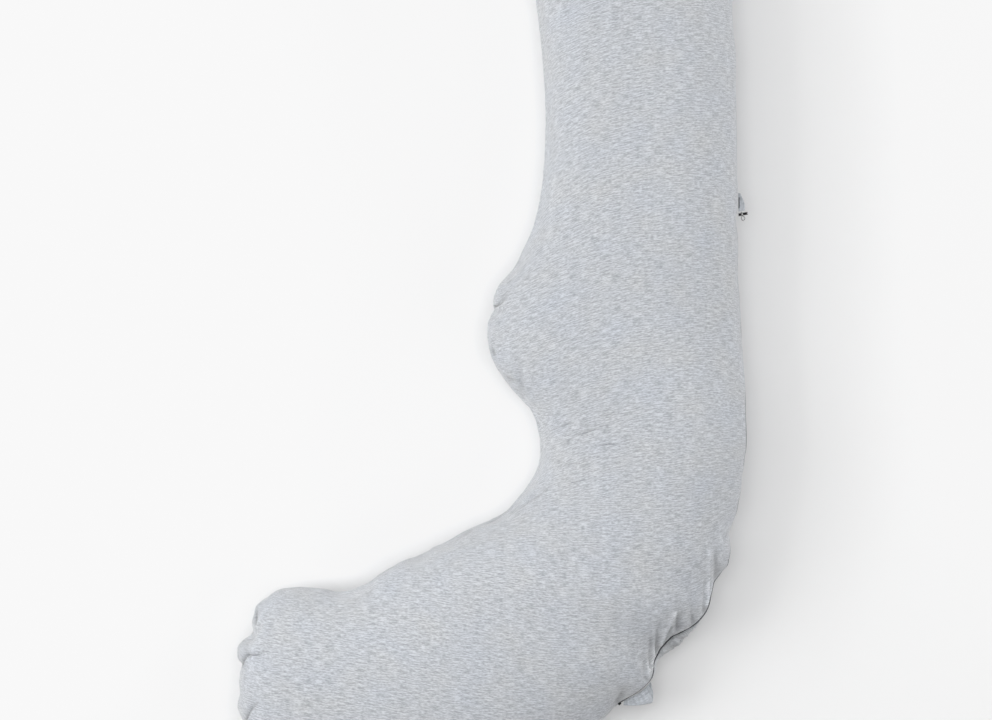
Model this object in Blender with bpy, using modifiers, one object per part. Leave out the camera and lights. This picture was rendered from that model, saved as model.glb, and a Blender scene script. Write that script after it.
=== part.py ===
"""A J-shaped body pillow: a filled jersey cover with a zip in its outer side seam.

Metres, +Z up. The pillow lies on z = 0, with its origin under the middle of its box. The tables are in
millimetres, measured across (+X, towards the outer side) and along (+Y, towards the head).
"""

import math
from collections import namedtuple

import bmesh
import bpy
from mathutils import Matrix, Vector
from mathutils.geometry import intersect_point_line

MM = 0.001

# The filled body.
SEAM_HEIGHT = 72.0  # the seam between the two panels runs level, all round
RING_POINTS = 36  # points round one section, half of them over the top
UPPER_POWER = 2.25  # 2 is an ellipse, more is plumper
UNDER_POWER = 2.4
HEAD_DOME = 95.0  # how far the rounded head reaches past its last section
HEAD_POWER = 2.3
FOOT_DOME = 73.5
FOOT_POWER = 2.38
HEAD_RINGS = 8
FOOT_RINGS = 19
FOLD_REACH_BELOW = 46.0  # a fold fades out this far under the seam
FOLD_REACH_ABOVE = 22.0  # one that leaves the seam straight has its full depth this far above it
FOLD_LIP = 1.2  # how much cloth stands up beside a fold
FOLD_FADE = 0.75  # the share of its depth that a fold loses by its inner end
PROFILE_POINTS = 96  # fine points of a panel's curve, from which a ring's points are picked
SMOOTH_ANGLE = math.radians(40)

# Each section runs from the seam on the inner side of the curve to the seam on its outer side.
# crown: height of the top. sag: how far the under side would hang below the seam if nothing held it up.
# belly: how far the lower panel stands out past the outer seam. step: the rings' spacing up to the next row.
Section = namedtuple("Section", "inner outer crown sag belly step")
SECTIONS = (
    # the head, curving gently inwards
    Section((-17, 464), (159, 574), 152, 84, 0, 30),
    Section((15, 388), (219, 471), 156, 84, 0, 30),
    Section((36, 311), (255, 357), 158, 84, 0, 30),
    # the straight trunk
    Section((48, 235), (273, 235), 160, 84, 0, 26),
    Section((54, 183), (276, 183), 160, 84, 0, 26),
    Section((59, 106), (278, 106), 160, 84, 0, 26),
    Section((56, 28), (279, 28), 160, 84, 0, 15),
    Section((46, -24), (280, -32), 160, 84, 0, 10),
    # the lobe on the inner side
    Section((32, -56), (281, -67), 159, 84, 0, 9),
    Section((22, -76), (281, -91), 158, 84, 0, 8),
    Section((7, -93), (282, -110), 157, 84, 0, 7),
    Section((0, -113), (283, -131), 156, 84, 0, 7),
    Section((-6, -135), (284, -150), 156, 84, 0, 8),
    Section((-7, -154), (285, -166), 156, 84, 0, 9),
    Section((-2, -177), (286, -184), 156, 84, 0, 9),
    Section((9, -197), (288, -205), 157, 84, 0, 9),
    Section((23, -214), (289, -223), 157, 84, 0, 9),
    # the bend
    Section((38, -231), (289, -243), 157, 84, 0, 10),
    Section((48, -250), (290, -262), 157, 84, 0, 12),
    Section((53, -279), (289, -297), 157, 84, 0, 12),
    Section((51, -300), (284, -324), 156, 84, 0, 12),
    Section((41, -320), (278, -352), 156, 84, 0, 12),
    Section((28, -337), (271, -381), 156, 84, 0, 9),
    # the gathered stretch of the outer seam
    Section((14, -353), (271, -404), 155, 84, 0, 8),
    Section((-2, -362), (260, -425), 155, 84, 0, 8),
    Section((-20, -370), (251, -444), 154, 84, 0, 8),
    Section((-37, -378), (246, -465), 154, 84, 2, 8),
    Section((-54, -388), (233, -482), 154, 84, 7, 8),
    Section((-71, -396), (215, -493), 154, 84, 9, 8),
    Section((-87, -405), (199, -504), 153, 84, 12, 8),
    Section((-102, -410), (187, -522), 153, 84, 8, 8),
    Section((-116, -417), (182, -544), 152, 84, 3, 8),
    Section((-130, -425), (168, -559), 152, 84, 0, 8),
    Section((-144, -435), (143, -575), 152, 84, 0, 14),
    # the leg, down to its blunt foot
    Section((-160, -442), (105, -608), 151, 84, 0, 26),
    Section((-179, -446), (41, -645), 150, 84, 0, 28),
    Section((-195, -443), (-33, -670), 149, 84, 0, 28),
    Section((-209, -442), (-114, -683), 148, 84, 0, 26),
    Section((-223, -440), (-216, -682), 146, 84, 0, 20),
)

# Creases that the stuffing and the gathered seams pull into the cover, from the seam towards the middle.
# notch: whether the crease pulls the seam in as well, so that it shows in the outline.
Fold = namedtuple("Fold", "rim end width depth notch")
FOLDS = (
    Fold((-4, -121), (26, -92), 7, 6, True),  # the tuck at the top of the lobe
    Fold((10, -209), (22, -186), 7, 4, False),  # two dimples where the lobe ends
    Fold((22, -220), (33, -198), 7, 3, False),
    Fold((42, -344), (78, -326), 9, 3, False),  # the inner bend
    Fold((58, -306), (150, -286), 10, 2, False),
    Fold((60, -282), (130, -258), 10, 2, False),
    Fold((259, -436), (254, -396), 7, 6, False),  # the gathers above the zip
    Fold((232, -474), (225, -446), 7, 4, False),
    Fold((214, -494), (209, -460), 7, 7, False),
    Fold((191, -516), (187, -488), 7, 5, False),
    Fold((180, -540), (177, -500), 7, 5, False),
    Fold((146, -572), (128, -548), 9, 5, False),  # where the zip ends
    Fold((-282, -472), (-260, -446), 14, 3, True),  # the puckers round the foot
    Fold((-279, -492), (-258, -458), 9, 15, True),
    Fold((-294, -530), (-262, -512), 7, 4, True),
    Fold((-292, -598), (-262, -566), 9, 7, True),
    Fold((-268, -656), (-240, -628), 9, 6, True),
    Fold((-40, 590), (-10, 556), 9, 5, True),  # the puckers round the head
    Fold((20, 634), (34, 588), 9, 5, True),
    Fold((92, 634), (78, 596), 9, 5, True),
)

# The zip, in the outer seam between these two places along it.
ZIP_TOP_Y = -15.0
ZIP_END = (146.0, -573.0)
ZIP_GAP = 0.5
ZIP_THICK = 1.8
ZIP_HIGH = 3.6
ZIP_STOP = (3.6, 3.4, 3.8)  # across, along and up
ZIP_STOP_OUT = 1.2
ZIP_STOP_EDGE = 0.6  # its rounding

# The slider stands out of the seam at the zip's upper end.
SLIDER_PLACE = (286.3, -11.6, 70.4)
SLIDER_TURN = math.radians(10)
SLIDER_PLATE = (11.4, 1.0, 9.0)
SLIDER_THICK = 3.0
SLIDER_POST = (2.6, 1.6, 4.0)
SLIDER_EDGE = 0.4
POST_EDGE = 0.1
PULL_WIRE = 0.55  # half the wire's thickness
PULL_PLAY = 0.3
PULL_SIZE = (4.6, 9.4)
PULL_LEAN = math.radians(52)
PULL_POINTS = 16

# The flap that leads out of the seam to the slider: one row across it for each place along the seam.
FlapRow = namedtuple("FlapRow", "root tip drop")
FLAP_THICK = 1.6
FLAP_STEPS = 4
FLAP_DROOP = 1.5  # 1 is a straight slope, more droops later
FLAP_SEAT = 0.45  # from the zip's outer face to the root of the flap that is sewn beside it
UPPER_FLAP = (
    FlapRow((280.6, 12.4), (281.8, 12.6), 0.0),
    FlapRow((280.6, 8.0), (285.8, 8.6), 0.3),
    FlapRow((280.6, 2.0), (289.0, 2.6), 0.6),
    FlapRow((280.7, -4.6), (292.6, -3.8), 0.8),
    FlapRow((280.9, -9.6), (291.6, -8.2), 1.0),
)
# The flap at the zip's lower end. Its roots are moved onto the zip's outer face.
LOWER_FLAP = (
    FlapRow((181.2, -552.0), (182.6, -554.6), 0.4),
    FlapRow((178.4, -555.6), (183.2, -564.5), 2.0),
    FlapRow((172.8, -560.5), (183.6, -574.2), 4.0),
    FlapRow((166.6, -564.8), (171.7, -576.4), 3.2),
    FlapRow((159.2, -569.2), (162.8, -577.4), 2.4),
    FlapRow((153.2, -573.2), (154.1, -577.3), 1.2),
    FlapRow((149.8, -575.2), (149.8, -577.2), 0.6),
)

COLLECTION = bpy.data.collections.new("body_pillow")
GUIDES = bpy.data.collections.new("guides")


def clear_scene():
    """Empties the scene of whatever the file opened with."""
    for old in list(bpy.data.objects):
        bpy.data.objects.remove(old, do_unlink=True)
    bpy.context.scene.collection.children.link(COLLECTION)
    bpy.context.scene.collection.children.link(GUIDES)


def material(name, colour, roughness, metallic=0.0):
    """A plain Principled material in the colour of the real piece."""
    made = bpy.data.materials.new(name)
    made.use_nodes = True
    shader = made.node_tree.nodes["Principled BSDF"]
    shader.inputs["Base Color"].default_value = (*colour, 1.0)
    shader.inputs["Roughness"].default_value = roughness
    shader.inputs["Metallic"].default_value = metallic
    return made


def add_object(name, data, finish, collection=COLLECTION):
    made = bpy.data.objects.new(name, data)
    data.materials.append(finish)
    collection.objects.link(made)
    return made


def mesh_from(name, bm):
    """Turns a bmesh into a mesh with outward faces, shaded smooth."""
    bmesh.ops.recalc_face_normals(bm, faces=bm.faces)
    mesh = bpy.data.meshes.new(name)
    bm.to_mesh(mesh)
    bm.free()
    mesh.shade_smooth()
    mesh.set_sharp_from_angle(angle=SMOOTH_ANGLE)
    return mesh


# ---- the body's sections ----


def evenly(points, count):
    """Picks count + 1 points spaced evenly along a run of (across, up) points, its two ends included."""
    reach = [0.0]
    for before, after in zip(points, points[1:]):
        reach.append(reach[-1] + math.dist(before, after))
    picked = []
    at = 0
    for number in range(count + 1):
        goal = reach[-1] * number / count
        while at < len(reach) - 2 and reach[at + 1] < goal:
            at += 1
        share = (goal - reach[at]) / (reach[at + 1] - reach[at])
        before, after = points[at], points[at + 1]
        picked.append([a + (b - a) * share for a, b in zip(before, after)])
    return picked


def half_profile(half_width, rise, power, lowest):
    """One panel's curve from the outer seam to the inner one, as (across, up) points."""
    points = []
    for number in range(PROFILE_POINTS + 1):
        angle = math.pi * number / PROFILE_POINTS
        across = math.copysign(abs(math.cos(angle)) ** (2 / power), math.cos(angle)) * half_width
        up = SEAM_HEIGHT + rise * math.sin(angle) ** (2 / power)
        points.append((across, max(up, lowest)))
    return evenly(points, RING_POINTS // 2)


def ring(inner, outer, crown, sag, belly):
    """The closed section between two seam points: the upper panel, then the lower one, flat at the floor."""
    middle = (inner + outer) / 2
    half_width = (outer - inner).length / 2
    direction = (outer - inner).normalized()
    upper = half_profile(half_width, crown - SEAM_HEIGHT, UPPER_POWER, 0.0)
    under = half_profile(half_width, -sag, UNDER_POWER, 0.0)[::-1]
    for point in under:
        if point[0] > 0:
            point[0] += belly * math.sin(math.pi * (1 - point[1] / SEAM_HEIGHT)) ** 2
    points = []
    for across, up in upper[:-1] + under[:-1]:
        place = middle + direction * across
        points.append(Vector((place.x, place.y, up)))
    return points


def smooth_row(rows, reach, at):
    """Reads the table of sections at one distance along the body, on a smooth curve through its rows."""
    index = 0
    while index < len(rows) - 2 and reach[index + 1] < at:
        index += 1
    span = reach[index + 1] - reach[index]
    share = (at - reach[index]) / span

    def slope(number, column):
        first, last = max(number - 1, 0), min(number + 1, len(rows) - 1)
        return (rows[last][column] - rows[first][column]) / (reach[last] - reach[first])

    values = []
    for column in range(len(rows[0])):
        start, end = rows[index][column], rows[index + 1][column]
        leave, arrive = slope(index, column) * span, slope(index + 1, column) * span
        curve = (2 * share**3 - 3 * share**2 + 1) * start + (share**3 - 2 * share**2 + share) * leave
        values.append(curve + (3 * share**2 - 2 * share**3) * end + (share**3 - share**2) * arrive)
    return values


def body_rows():
    """The table's rows and the rings between them, as flat lists of numbers."""
    rows = [[*row.inner, *row.outer, row.crown, row.sag, row.belly] for row in SECTIONS]
    reach = [0.0]
    for before, after in zip(rows, rows[1:]):
        inner = math.dist(before[0:2], after[0:2])
        outer = math.dist(before[2:4], after[2:4])
        reach.append(reach[-1] + (inner + outer) / 2)
    stations = []
    for number, row in enumerate(SECTIONS[:-1]):
        outer = math.dist(rows[number][2:4], rows[number + 1][2:4])
        count = max(1, round(outer / row.step))
        span = reach[number + 1] - reach[number]
        stations += [reach[number] + span * part / count for part in range(count)]
    stations.append(reach[-1])
    return [smooth_row(rows, reach, at) for at in stations]


def dome(row, ahead, length, power, count):
    """Rings that close an end of the body like a blunt dome, and the point at its tip."""
    inner, outer = Vector(row[0:2]), Vector(row[2:4])
    crown, sag, belly = row[4:7]
    middle = (inner + outer) / 2
    rings = []
    for number in range(1, count):
        angle = math.pi / 2 * number / count
        scale = math.cos(angle) ** (2 / power)
        forward = ahead * length * math.sin(angle) ** (2 / power)
        top = SEAM_HEIGHT + (crown - SEAM_HEIGHT) * scale
        start = middle + (inner - middle) * scale + forward
        end = middle + (outer - middle) * scale + forward
        rings.append(ring(start, end, top, sag * scale, belly))
    tip = middle + ahead * length
    return rings, Vector((tip.x, tip.y, SEAM_HEIGHT))


def fold_depth(fold, place):
    """How deep one crease is at a place: a trough with a low lip on each side, fading inwards."""
    rim, end = Vector(fold.rim), Vector(fold.end)
    run = end - rim
    share = min(max((place.xy - rim).dot(run) / run.length_squared, 0.0), 1.0)
    away = ((place.xy - rim - run * share).length / fold.width) ** 2
    fade = 1 - FOLD_FADE * share
    rise = place.z - SEAM_HEIGHT
    held = min(max(1 + rise / FOLD_REACH_BELOW, 0.0), 1.0)
    if not fold.notch:
        held = min(max(rise / FOLD_REACH_ABOVE, 0.0), 1.0)
    return fold.depth * fade * held * (1 - FOLD_LIP * away) * math.exp(-away)


def press_folds(rings):
    """Moves the rings' points along the surface's own normal by the depth of the creases."""
    moved = []
    for number, points in enumerate(rings):
        before = rings[max(number - 1, 0)]
        after = rings[min(number + 1, len(rings) - 1)]
        row = []
        for index, point in enumerate(points):
            along = after[index] - before[index]
            around = points[(index + 1) % RING_POINTS] - points[index - 1]
            normal = around.cross(along).normalized()
            depth = sum(fold_depth(fold, point) for fold in FOLDS)
            row.append(point - normal * depth)
        moved.append(row)
    return moved


def body_rings():
    """All rings of the body from head to foot, with the tips of its two domes."""
    rows = body_rows()
    first, last = rows[0], rows[-1]
    head_side = (Vector(first[2:4]) - Vector(first[0:2])).normalized()
    foot_side = (Vector(last[2:4]) - Vector(last[0:2])).normalized()
    head_ahead = Vector((-head_side.y, head_side.x))
    foot_ahead = Vector((foot_side.y, -foot_side.x))
    head, head_tip = dome(first, head_ahead, HEAD_DOME, HEAD_POWER, HEAD_RINGS)
    foot, foot_tip = dome(last, foot_ahead, FOOT_DOME, FOOT_POWER, FOOT_RINGS)
    middle = [ring(Vector(row[0:2]), Vector(row[2:4]), *row[4:7]) for row in rows]
    return press_folds(head[::-1] + middle + foot), head_tip, foot_tip


def make_pillow(rings, head_tip, foot_tip):
    """The filled cover: one closed solid lofted through the rings."""
    bm = bmesh.new()
    loops = [[bm.verts.new(point * MM) for point in points] for points in rings]
    for before, after in zip(loops, loops[1:]):
        for index in range(RING_POINTS):
            turn = (index + 1) % RING_POINTS
            bm.faces.new((before[index], before[turn], after[turn], after[index]))
    for loop, tip in ((loops[0], head_tip), (loops[-1], foot_tip)):
        pole = bm.verts.new(tip * MM)
        for index in range(RING_POINTS):
            bm.faces.new((loop[index], loop[(index + 1) % RING_POINTS], pole))
    jersey = material("jersey_cover", (0.53, 0.55, 0.58), 0.9)
    return add_object("pillow", mesh_from("pillow", bm), jersey)


# ---- the zip ----


def outer_seam(rings):
    """The outer seam's points between the zip's two ends, and the way out of the seam at each."""
    seam = [points[0] for points in rings]
    end = min(range(len(seam)), key=lambda number: math.dist(seam[number].xy, ZIP_END))
    start = next(number for number in range(end) if seam[number].y < ZIP_TOP_Y)
    path = []
    for number in range(start, end + 1):
        run = seam[number + 1] - seam[number - 1]
        path.append((seam[number], Vector((-run.y, run.x, 0.0)).normalized()))
    return path


def make_zip(path):
    """The closed chain of the zip: a narrow upright band that follows the seam."""
    profile = bpy.data.curves.new("zip_section", "CURVE")
    profile.dimensions = "2D"
    outline = profile.splines.new("POLY")
    corners = [(-0.5, 0.3), (-0.2, 0.5), (0.2, 0.5), (0.5, 0.3)]
    corners += [(-across, -up) for across, up in corners]
    outline.points.add(len(corners) - 1)
    for point, (across, up) in zip(outline.points, corners):
        point.co = (across * ZIP_THICK * MM, up * ZIP_HIGH * MM, 0.0, 1.0)
    outline.use_cyclic_u = True
    guide = bpy.data.objects.new("zip_section", profile)
    guide.hide_render = True
    guide.display_type = "WIRE"
    GUIDES.objects.link(guide)
    curve = bpy.data.curves.new("zip", "CURVE")
    curve.dimensions = "3D"
    curve.twist_mode = "Z_UP"
    curve.bevel_mode = "OBJECT"
    curve.bevel_object = guide
    curve.use_fill_caps = True
    line = curve.splines.new("POLY")
    line.points.add(len(path) - 1)
    for point, (place, out) in zip(line.points, path):
        point.co = (*((place + out * (ZIP_GAP + ZIP_THICK / 2)) * MM), 1.0)
    return add_object("zip", curve, material("zip_chain", (0.05, 0.055, 0.065), 0.5))


def box_mesh(name, size, bevel):
    """A block with softened edges."""
    bm = bmesh.new()
    bmesh.ops.create_cube(bm, size=1.0)
    bmesh.ops.scale(bm, vec=Vector(size) * MM, verts=bm.verts)
    bmesh.ops.bevel(bm, geom=bm.edges, offset=bevel * MM, segments=1, profile=0.5, affect="EDGES")
    return mesh_from(name, bm)


def make_zip_stop(path):
    """The stop that closes the zip's lower end."""
    place, out = path[-1]
    ahead = (path[-1][0] - path[-2][0]).normalized()
    enamel = material("stop_enamel", (0.03, 0.03, 0.035), 0.4)
    stop = add_object("zip_stop", box_mesh("zip_stop", ZIP_STOP, ZIP_STOP_EDGE), enamel)
    centre = place + ahead * (ZIP_STOP[1] / 2 + ZIP_GAP) + out * (ZIP_STOP_OUT + ZIP_STOP[0] / 2)
    stop.location = centre * MM
    stop.rotation_euler.z = math.atan2(out.y, out.x)
    return stop


def make_slider():
    """The slider: two plates joined by a post, seen edge on from above."""
    enamel = material("slider_enamel", (0.015, 0.015, 0.017), 0.35)
    slider = add_object("zip_slider", box_mesh("zip_slider", SLIDER_PLATE, SLIDER_EDGE), enamel)
    reach = (SLIDER_THICK - SLIDER_PLATE[1]) / 2
    slider.data.transform(Matrix.Translation((0, -reach * MM, 0)))
    plate = add_object("slider_back", box_mesh("slider_back", SLIDER_PLATE, SLIDER_EDGE), enamel, GUIDES)
    plate.data.transform(Matrix.Translation((0, reach * MM, 0)))
    post = add_object("slider_post", box_mesh("slider_post", SLIDER_POST, POST_EDGE), enamel, GUIDES)
    for other in (post, plate):
        other.hide_render = True
        other.display_type = "WIRE"
        join = slider.modifiers.new("join_" + other.name, "BOOLEAN")
        join.operation = "UNION"
        join.object = other
        other.parent = slider
    slider.location = Vector(SLIDER_PLACE) * MM
    slider.rotation_euler.z = SLIDER_TURN
    return slider


def make_pull():
    """The wire loop that hangs from the slider's front face."""
    curve = bpy.data.curves.new("zip_pull", "CURVE")
    curve.dimensions = "3D"
    curve.bevel_depth = PULL_WIRE * MM
    curve.bevel_resolution = 1
    line = curve.splines.new("POLY")
    line.points.add(PULL_POINTS - 1)
    for number, point in enumerate(line.points):
        angle = 2 * math.pi * number / PULL_POINTS
        across = PULL_SIZE[0] / 2 * math.cos(angle)
        down = PULL_SIZE[1] / 2 * (1 - math.sin(angle))
        front = -SLIDER_THICK / 2 - PULL_WIRE - PULL_PLAY - down * math.cos(PULL_LEAN)
        up = SLIDER_PLATE[2] / 2 - down * math.sin(PULL_LEAN)
        point.co = (*(Vector((across, front, up)) * MM), 1.0)
    line.use_cyclic_u = True
    pull = add_object("zip_pull", curve, material("pull_metal", (0.82, 0.82, 0.80), 0.25, 1.0))
    pull.location = Vector(SLIDER_PLACE) * MM
    pull.rotation_euler.z = SLIDER_TURN
    return pull


# ---- the flaps ----


def seat_on_zip(rows, path):
    """Moves the roots of a flap's rows to the nearest places on the zip's outer face."""
    face = [(place + out * (ZIP_GAP + ZIP_THICK + FLAP_SEAT)).xy for place, out in path]
    seated = []
    for row in rows:
        wanted = Vector(row.root)
        near = []
        for before, after in zip(face, face[1:]):
            share = intersect_point_line(wanted, before, after)[1]
            place = before.lerp(after, min(max(share, 0.0), 1.0))
            near.append(((place - wanted).length, place))
        seated.append(row._replace(root=min(near, key=lambda found: found[0])[1]))
    return seated


def make_flap(name, rows):
    """A flap of folded jersey, from its root at the seam to its free edge, drooping a little."""
    bm = bmesh.new()
    grid = []
    for row in rows:
        root, tip = Vector(row.root), Vector(row.tip)
        line = []
        for step in range(FLAP_STEPS + 1):
            share = step / FLAP_STEPS
            place = root.lerp(tip, share)
            up = SEAM_HEIGHT - row.drop * share**FLAP_DROOP
            line.append(bm.verts.new(Vector((place.x, place.y, up)) * MM))
        grid.append(line)
    for before, after in zip(grid, grid[1:]):
        for step in range(FLAP_STEPS):
            bm.faces.new((before[step], before[step + 1], after[step + 1], after[step]))
    flap = add_object(name, mesh_from(name, bm), material(name + "_jersey", (0.47, 0.50, 0.55), 0.9))
    shell = flap.modifiers.new("cloth", "SOLIDIFY")
    shell.thickness = FLAP_THICK * MM
    shell.offset = 0.0
    return flap


def centre_over_origin(pieces):
    """Hangs the pieces under one empty and moves it so that the origin lies under the middle of their box."""
    bpy.context.view_layer.update()
    graph = bpy.context.evaluated_depsgraph_get()
    points = []
    for piece in pieces:
        shape = piece.evaluated_get(graph)
        points += [shape.matrix_world @ vertex.co for vertex in shape.to_mesh().vertices]
        shape.to_mesh_clear()
    lowest = [min(point[axis] for point in points) for axis in range(3)]
    highest = [max(point[axis] for point in points) for axis in range(3)]
    base = bpy.data.objects.new("pillow_base", None)
    COLLECTION.objects.link(base)
    base.location = (-(lowest[0] + highest[0]) / 2, -(lowest[1] + highest[1]) / 2, 0.0)
    for piece in pieces:
        piece.parent = base
    print("box in mm:", [round((high - low) / MM, 1) for low, high in zip(lowest, highest)])
    print("base moved by mm:", [round(value / MM, 1) for value in base.location])


def main():
    clear_scene()
    rings, head_tip, foot_tip = body_rings()
    path = outer_seam(rings)
    pieces = [
        make_pillow(rings, head_tip, foot_tip),
        make_zip(path),
        make_zip_stop(path),
        make_slider(),
        make_pull(),
        make_flap("flap_upper", UPPER_FLAP),
        make_flap("flap_lower", seat_on_zip(LOWER_FLAP, path)),
    ]
    centre_over_origin(pieces)


main()
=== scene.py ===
# %% [markdown]
# # A J-shaped body pillow in heather-grey jersey
# The real thing is a long stuffed tube that bends like a J: a straight trunk, a rounded lobe on its inner
# side, and a leg. Its cover is two panels of jersey sewn together all round at mid height, with a zip in
# the outer seam. The solids of the frame have its true size and main folds. This lesson dresses them: it
# turns the solid into soft cloth with fine folds, and makes the knit, the seam, the zip and the studio
# round it.

import math
from collections import namedtuple

import bpy
import numpy as np
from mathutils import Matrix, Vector, noise
from mathutils.bvhtree import BVHTree


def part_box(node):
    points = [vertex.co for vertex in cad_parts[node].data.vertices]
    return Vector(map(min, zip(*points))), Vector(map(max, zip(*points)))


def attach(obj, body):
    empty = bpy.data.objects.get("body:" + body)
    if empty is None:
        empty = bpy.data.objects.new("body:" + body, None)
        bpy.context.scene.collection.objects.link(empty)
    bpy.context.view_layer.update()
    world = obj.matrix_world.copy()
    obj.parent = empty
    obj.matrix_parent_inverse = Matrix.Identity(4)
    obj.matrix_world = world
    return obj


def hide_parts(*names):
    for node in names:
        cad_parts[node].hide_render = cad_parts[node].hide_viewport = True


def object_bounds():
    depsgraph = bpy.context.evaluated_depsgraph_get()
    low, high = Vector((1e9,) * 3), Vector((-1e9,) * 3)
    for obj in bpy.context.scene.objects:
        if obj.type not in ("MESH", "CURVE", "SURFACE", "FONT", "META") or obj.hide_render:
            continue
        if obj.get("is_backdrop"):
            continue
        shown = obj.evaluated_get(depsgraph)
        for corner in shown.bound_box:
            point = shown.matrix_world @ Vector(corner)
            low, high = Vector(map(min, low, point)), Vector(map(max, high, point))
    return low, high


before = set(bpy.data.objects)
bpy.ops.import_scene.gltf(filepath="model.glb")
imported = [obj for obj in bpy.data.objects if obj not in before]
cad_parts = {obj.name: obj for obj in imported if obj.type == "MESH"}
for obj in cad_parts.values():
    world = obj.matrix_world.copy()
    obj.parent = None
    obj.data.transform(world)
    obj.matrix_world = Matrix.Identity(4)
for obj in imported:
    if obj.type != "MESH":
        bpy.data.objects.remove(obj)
cad_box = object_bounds()
MM = 0.001
UP = Vector((0.0, 0.0, 1.0))
print("frame:", sorted(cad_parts))

# %% [markdown]
# ## The camera
# The pillow was photographed from straight above. A ladder and a long lens keep the picture almost free of
# perspective, so its outline is the outline of the seam. The lens could be found by trial, but it also
# follows from three sizes: how high the camera hangs, how high the seam lies, and how much of the seam's
# level one pixel covers.

# %% Camera straight above
PICTURE_WIDTH = 992  # pixels
PIXEL = 1.15 * MM  # what one pixel covers at the seam's height
SEAM_HEIGHT = 72 * MM
CAMERA_PLACE = Vector((2.7, -147.5, 4000)) * MM

camera_data = bpy.data.cameras.new("ladder_camera")
camera_data.sensor_width = 36
camera_data.lens = camera_data.sensor_width * (CAMERA_PLACE.z - SEAM_HEIGHT) / (PICTURE_WIDTH * PIXEL)
camera = bpy.data.objects.new("ladder_camera", camera_data)
camera.location = CAMERA_PLACE
bpy.context.scene.collection.objects.link(camera)
bpy.context.scene.camera = camera
print("lens:", round(camera_data.lens, 1), "mm")

# %% [markdown]
# ## Helpers for materials
# A material is a small machine of nodes. An effect that more than one material uses is made once, as a node
# group with named inputs and outputs. These helpers add a node, feed it and open a group, so that each
# recipe below reads as a list of steps.

# %% Helpers for nodes
def feed(tree, socket, value):
    """Links a socket to another, or sets its number or colour."""
    if isinstance(value, bpy.types.NodeSocket):
        tree.links.new(value, socket)
    else:
        socket.default_value = value


def add_node(tree, kind, inputs=(), **settings):
    """Adds a node, sets its options and feeds its inputs, which are named or numbered."""
    made = tree.nodes.new(kind)
    for name, value in settings.items():
        setattr(made, name, value)
    for key, value in dict(inputs).items():
        feed(tree, made.inputs[key], value)
    return made


def maths(tree, operation, *values):
    """One sum on numbers or sockets."""
    return add_node(tree, "ShaderNodeMath", dict(enumerate(values)), operation=operation).outputs[0]


def vector_maths(tree, operation, *values, out=0):
    """One sum on vectors or vector sockets."""
    return add_node(tree, "ShaderNodeVectorMath", dict(enumerate(values)), operation=operation).outputs[out]


def mixed(tree, share, first, second):
    """Blends two colours."""
    made = add_node(tree, "ShaderNodeMix", {0: share, 6: first, 7: second}, data_type="RGBA")
    return made.outputs[2]


print("node helpers ready")

# %% Helpers for groups and materials
UV_LAYER = "cloth"  # where every piece of jersey keeps its places on the flat cloth


def shader_group(name, inputs, outputs):
    """An empty node group, with the sockets of its input and of its output node."""
    tree = bpy.data.node_groups.new(name, "ShaderNodeTree")
    for side, rows in (("INPUT", inputs), ("OUTPUT", outputs)):
        for label, kind in rows:
            tree.interface.new_socket(label, in_out=side, socket_type="NodeSocket" + kind)
    return tree, tree.nodes.new("NodeGroupInput").outputs, tree.nodes.new("NodeGroupOutput").inputs


def new_material(name, roughness, metallic=0.0, sheen=0.0):
    """A material, its node tree and its shader."""
    made = bpy.data.materials.new(name)
    made.use_nodes = True
    shader = made.node_tree.nodes["Principled BSDF"]
    shader.inputs["Roughness"].default_value = roughness
    shader.inputs["Metallic"].default_value = metallic
    shader.inputs["Sheen Weight"].default_value = sheen
    return made, made.node_tree, shader


def cloth_place(tree):
    """The place on the flat cloth, in metres."""
    return add_node(tree, "ShaderNodeUVMap", uv_map=UV_LAYER).outputs[0]


def placed_group(tree, group, **values):
    """Puts a node group into a material, with its own values."""
    inputs = {key.replace("_", " "): value for key, value in values.items()}
    return add_node(tree, "ShaderNodeGroup", inputs, node_tree=group)


print("material helpers ready")

# %% [markdown]
# ## The studio
# The floor is a white sheet. Most light comes from the left, where soft boxes hang from low to high, with
# one straight above and two on the right, so that nothing is black. A sun lamp would draw a hard shadow.
# Seven large soft boxes on one dome, all aimed at the pillow, give the wide and soft one that lies along its
# outer side, and each can be made stronger or weaker by its own row. The lamps don't reach the far floor,
# which a low camera would see as a black wall, so the paper glows a little from about two metres on.

# %% Helpers for objects
def add_object(name, data):
    """Puts a mesh or a lamp into the scene."""
    made = bpy.data.objects.new(name, data)
    bpy.context.scene.collection.objects.link(made)
    return made


def mesh_object(name, points, faces):
    """A smooth-shaded object from a list of points and a list of faces."""
    mesh = bpy.data.meshes.new(name)
    mesh.from_pydata(points, [], faces)
    mesh.shade_smooth()
    return add_object(name, mesh)


print("object helpers ready")

# %% White paper floor
FLOOR_SIZE = 14.0
FLOOR_COLOUR = (0.84, 0.84, 0.84, 1.0)
FLOOR_ROUGHNESS = 0.85
GLOW_FROM, GLOW_TO, GLOW = 1.8, 6.0, 0.7  # metres from the middle, and the strength at the end


def floor_paper():
    """White paper that glows a little far from the pillow."""
    made, tree, shader = new_material("floor_paper", FLOOR_ROUGHNESS)
    shader.inputs["Base Color"].default_value = FLOOR_COLOUR
    shader.inputs["Emission Color"].default_value = FLOOR_COLOUR
    place = add_node(tree, "ShaderNodeTexCoord").outputs["Object"]
    away = vector_maths(tree, "LENGTH", place, out=1)
    span = {"Value": away, "From Min": GLOW_FROM, "From Max": GLOW_TO, "To Min": 0.0, "To Max": GLOW}
    glow = add_node(tree, "ShaderNodeMapRange", span).outputs["Result"]
    feed(tree, shader.inputs["Emission Strength"], glow)
    return made


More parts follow.
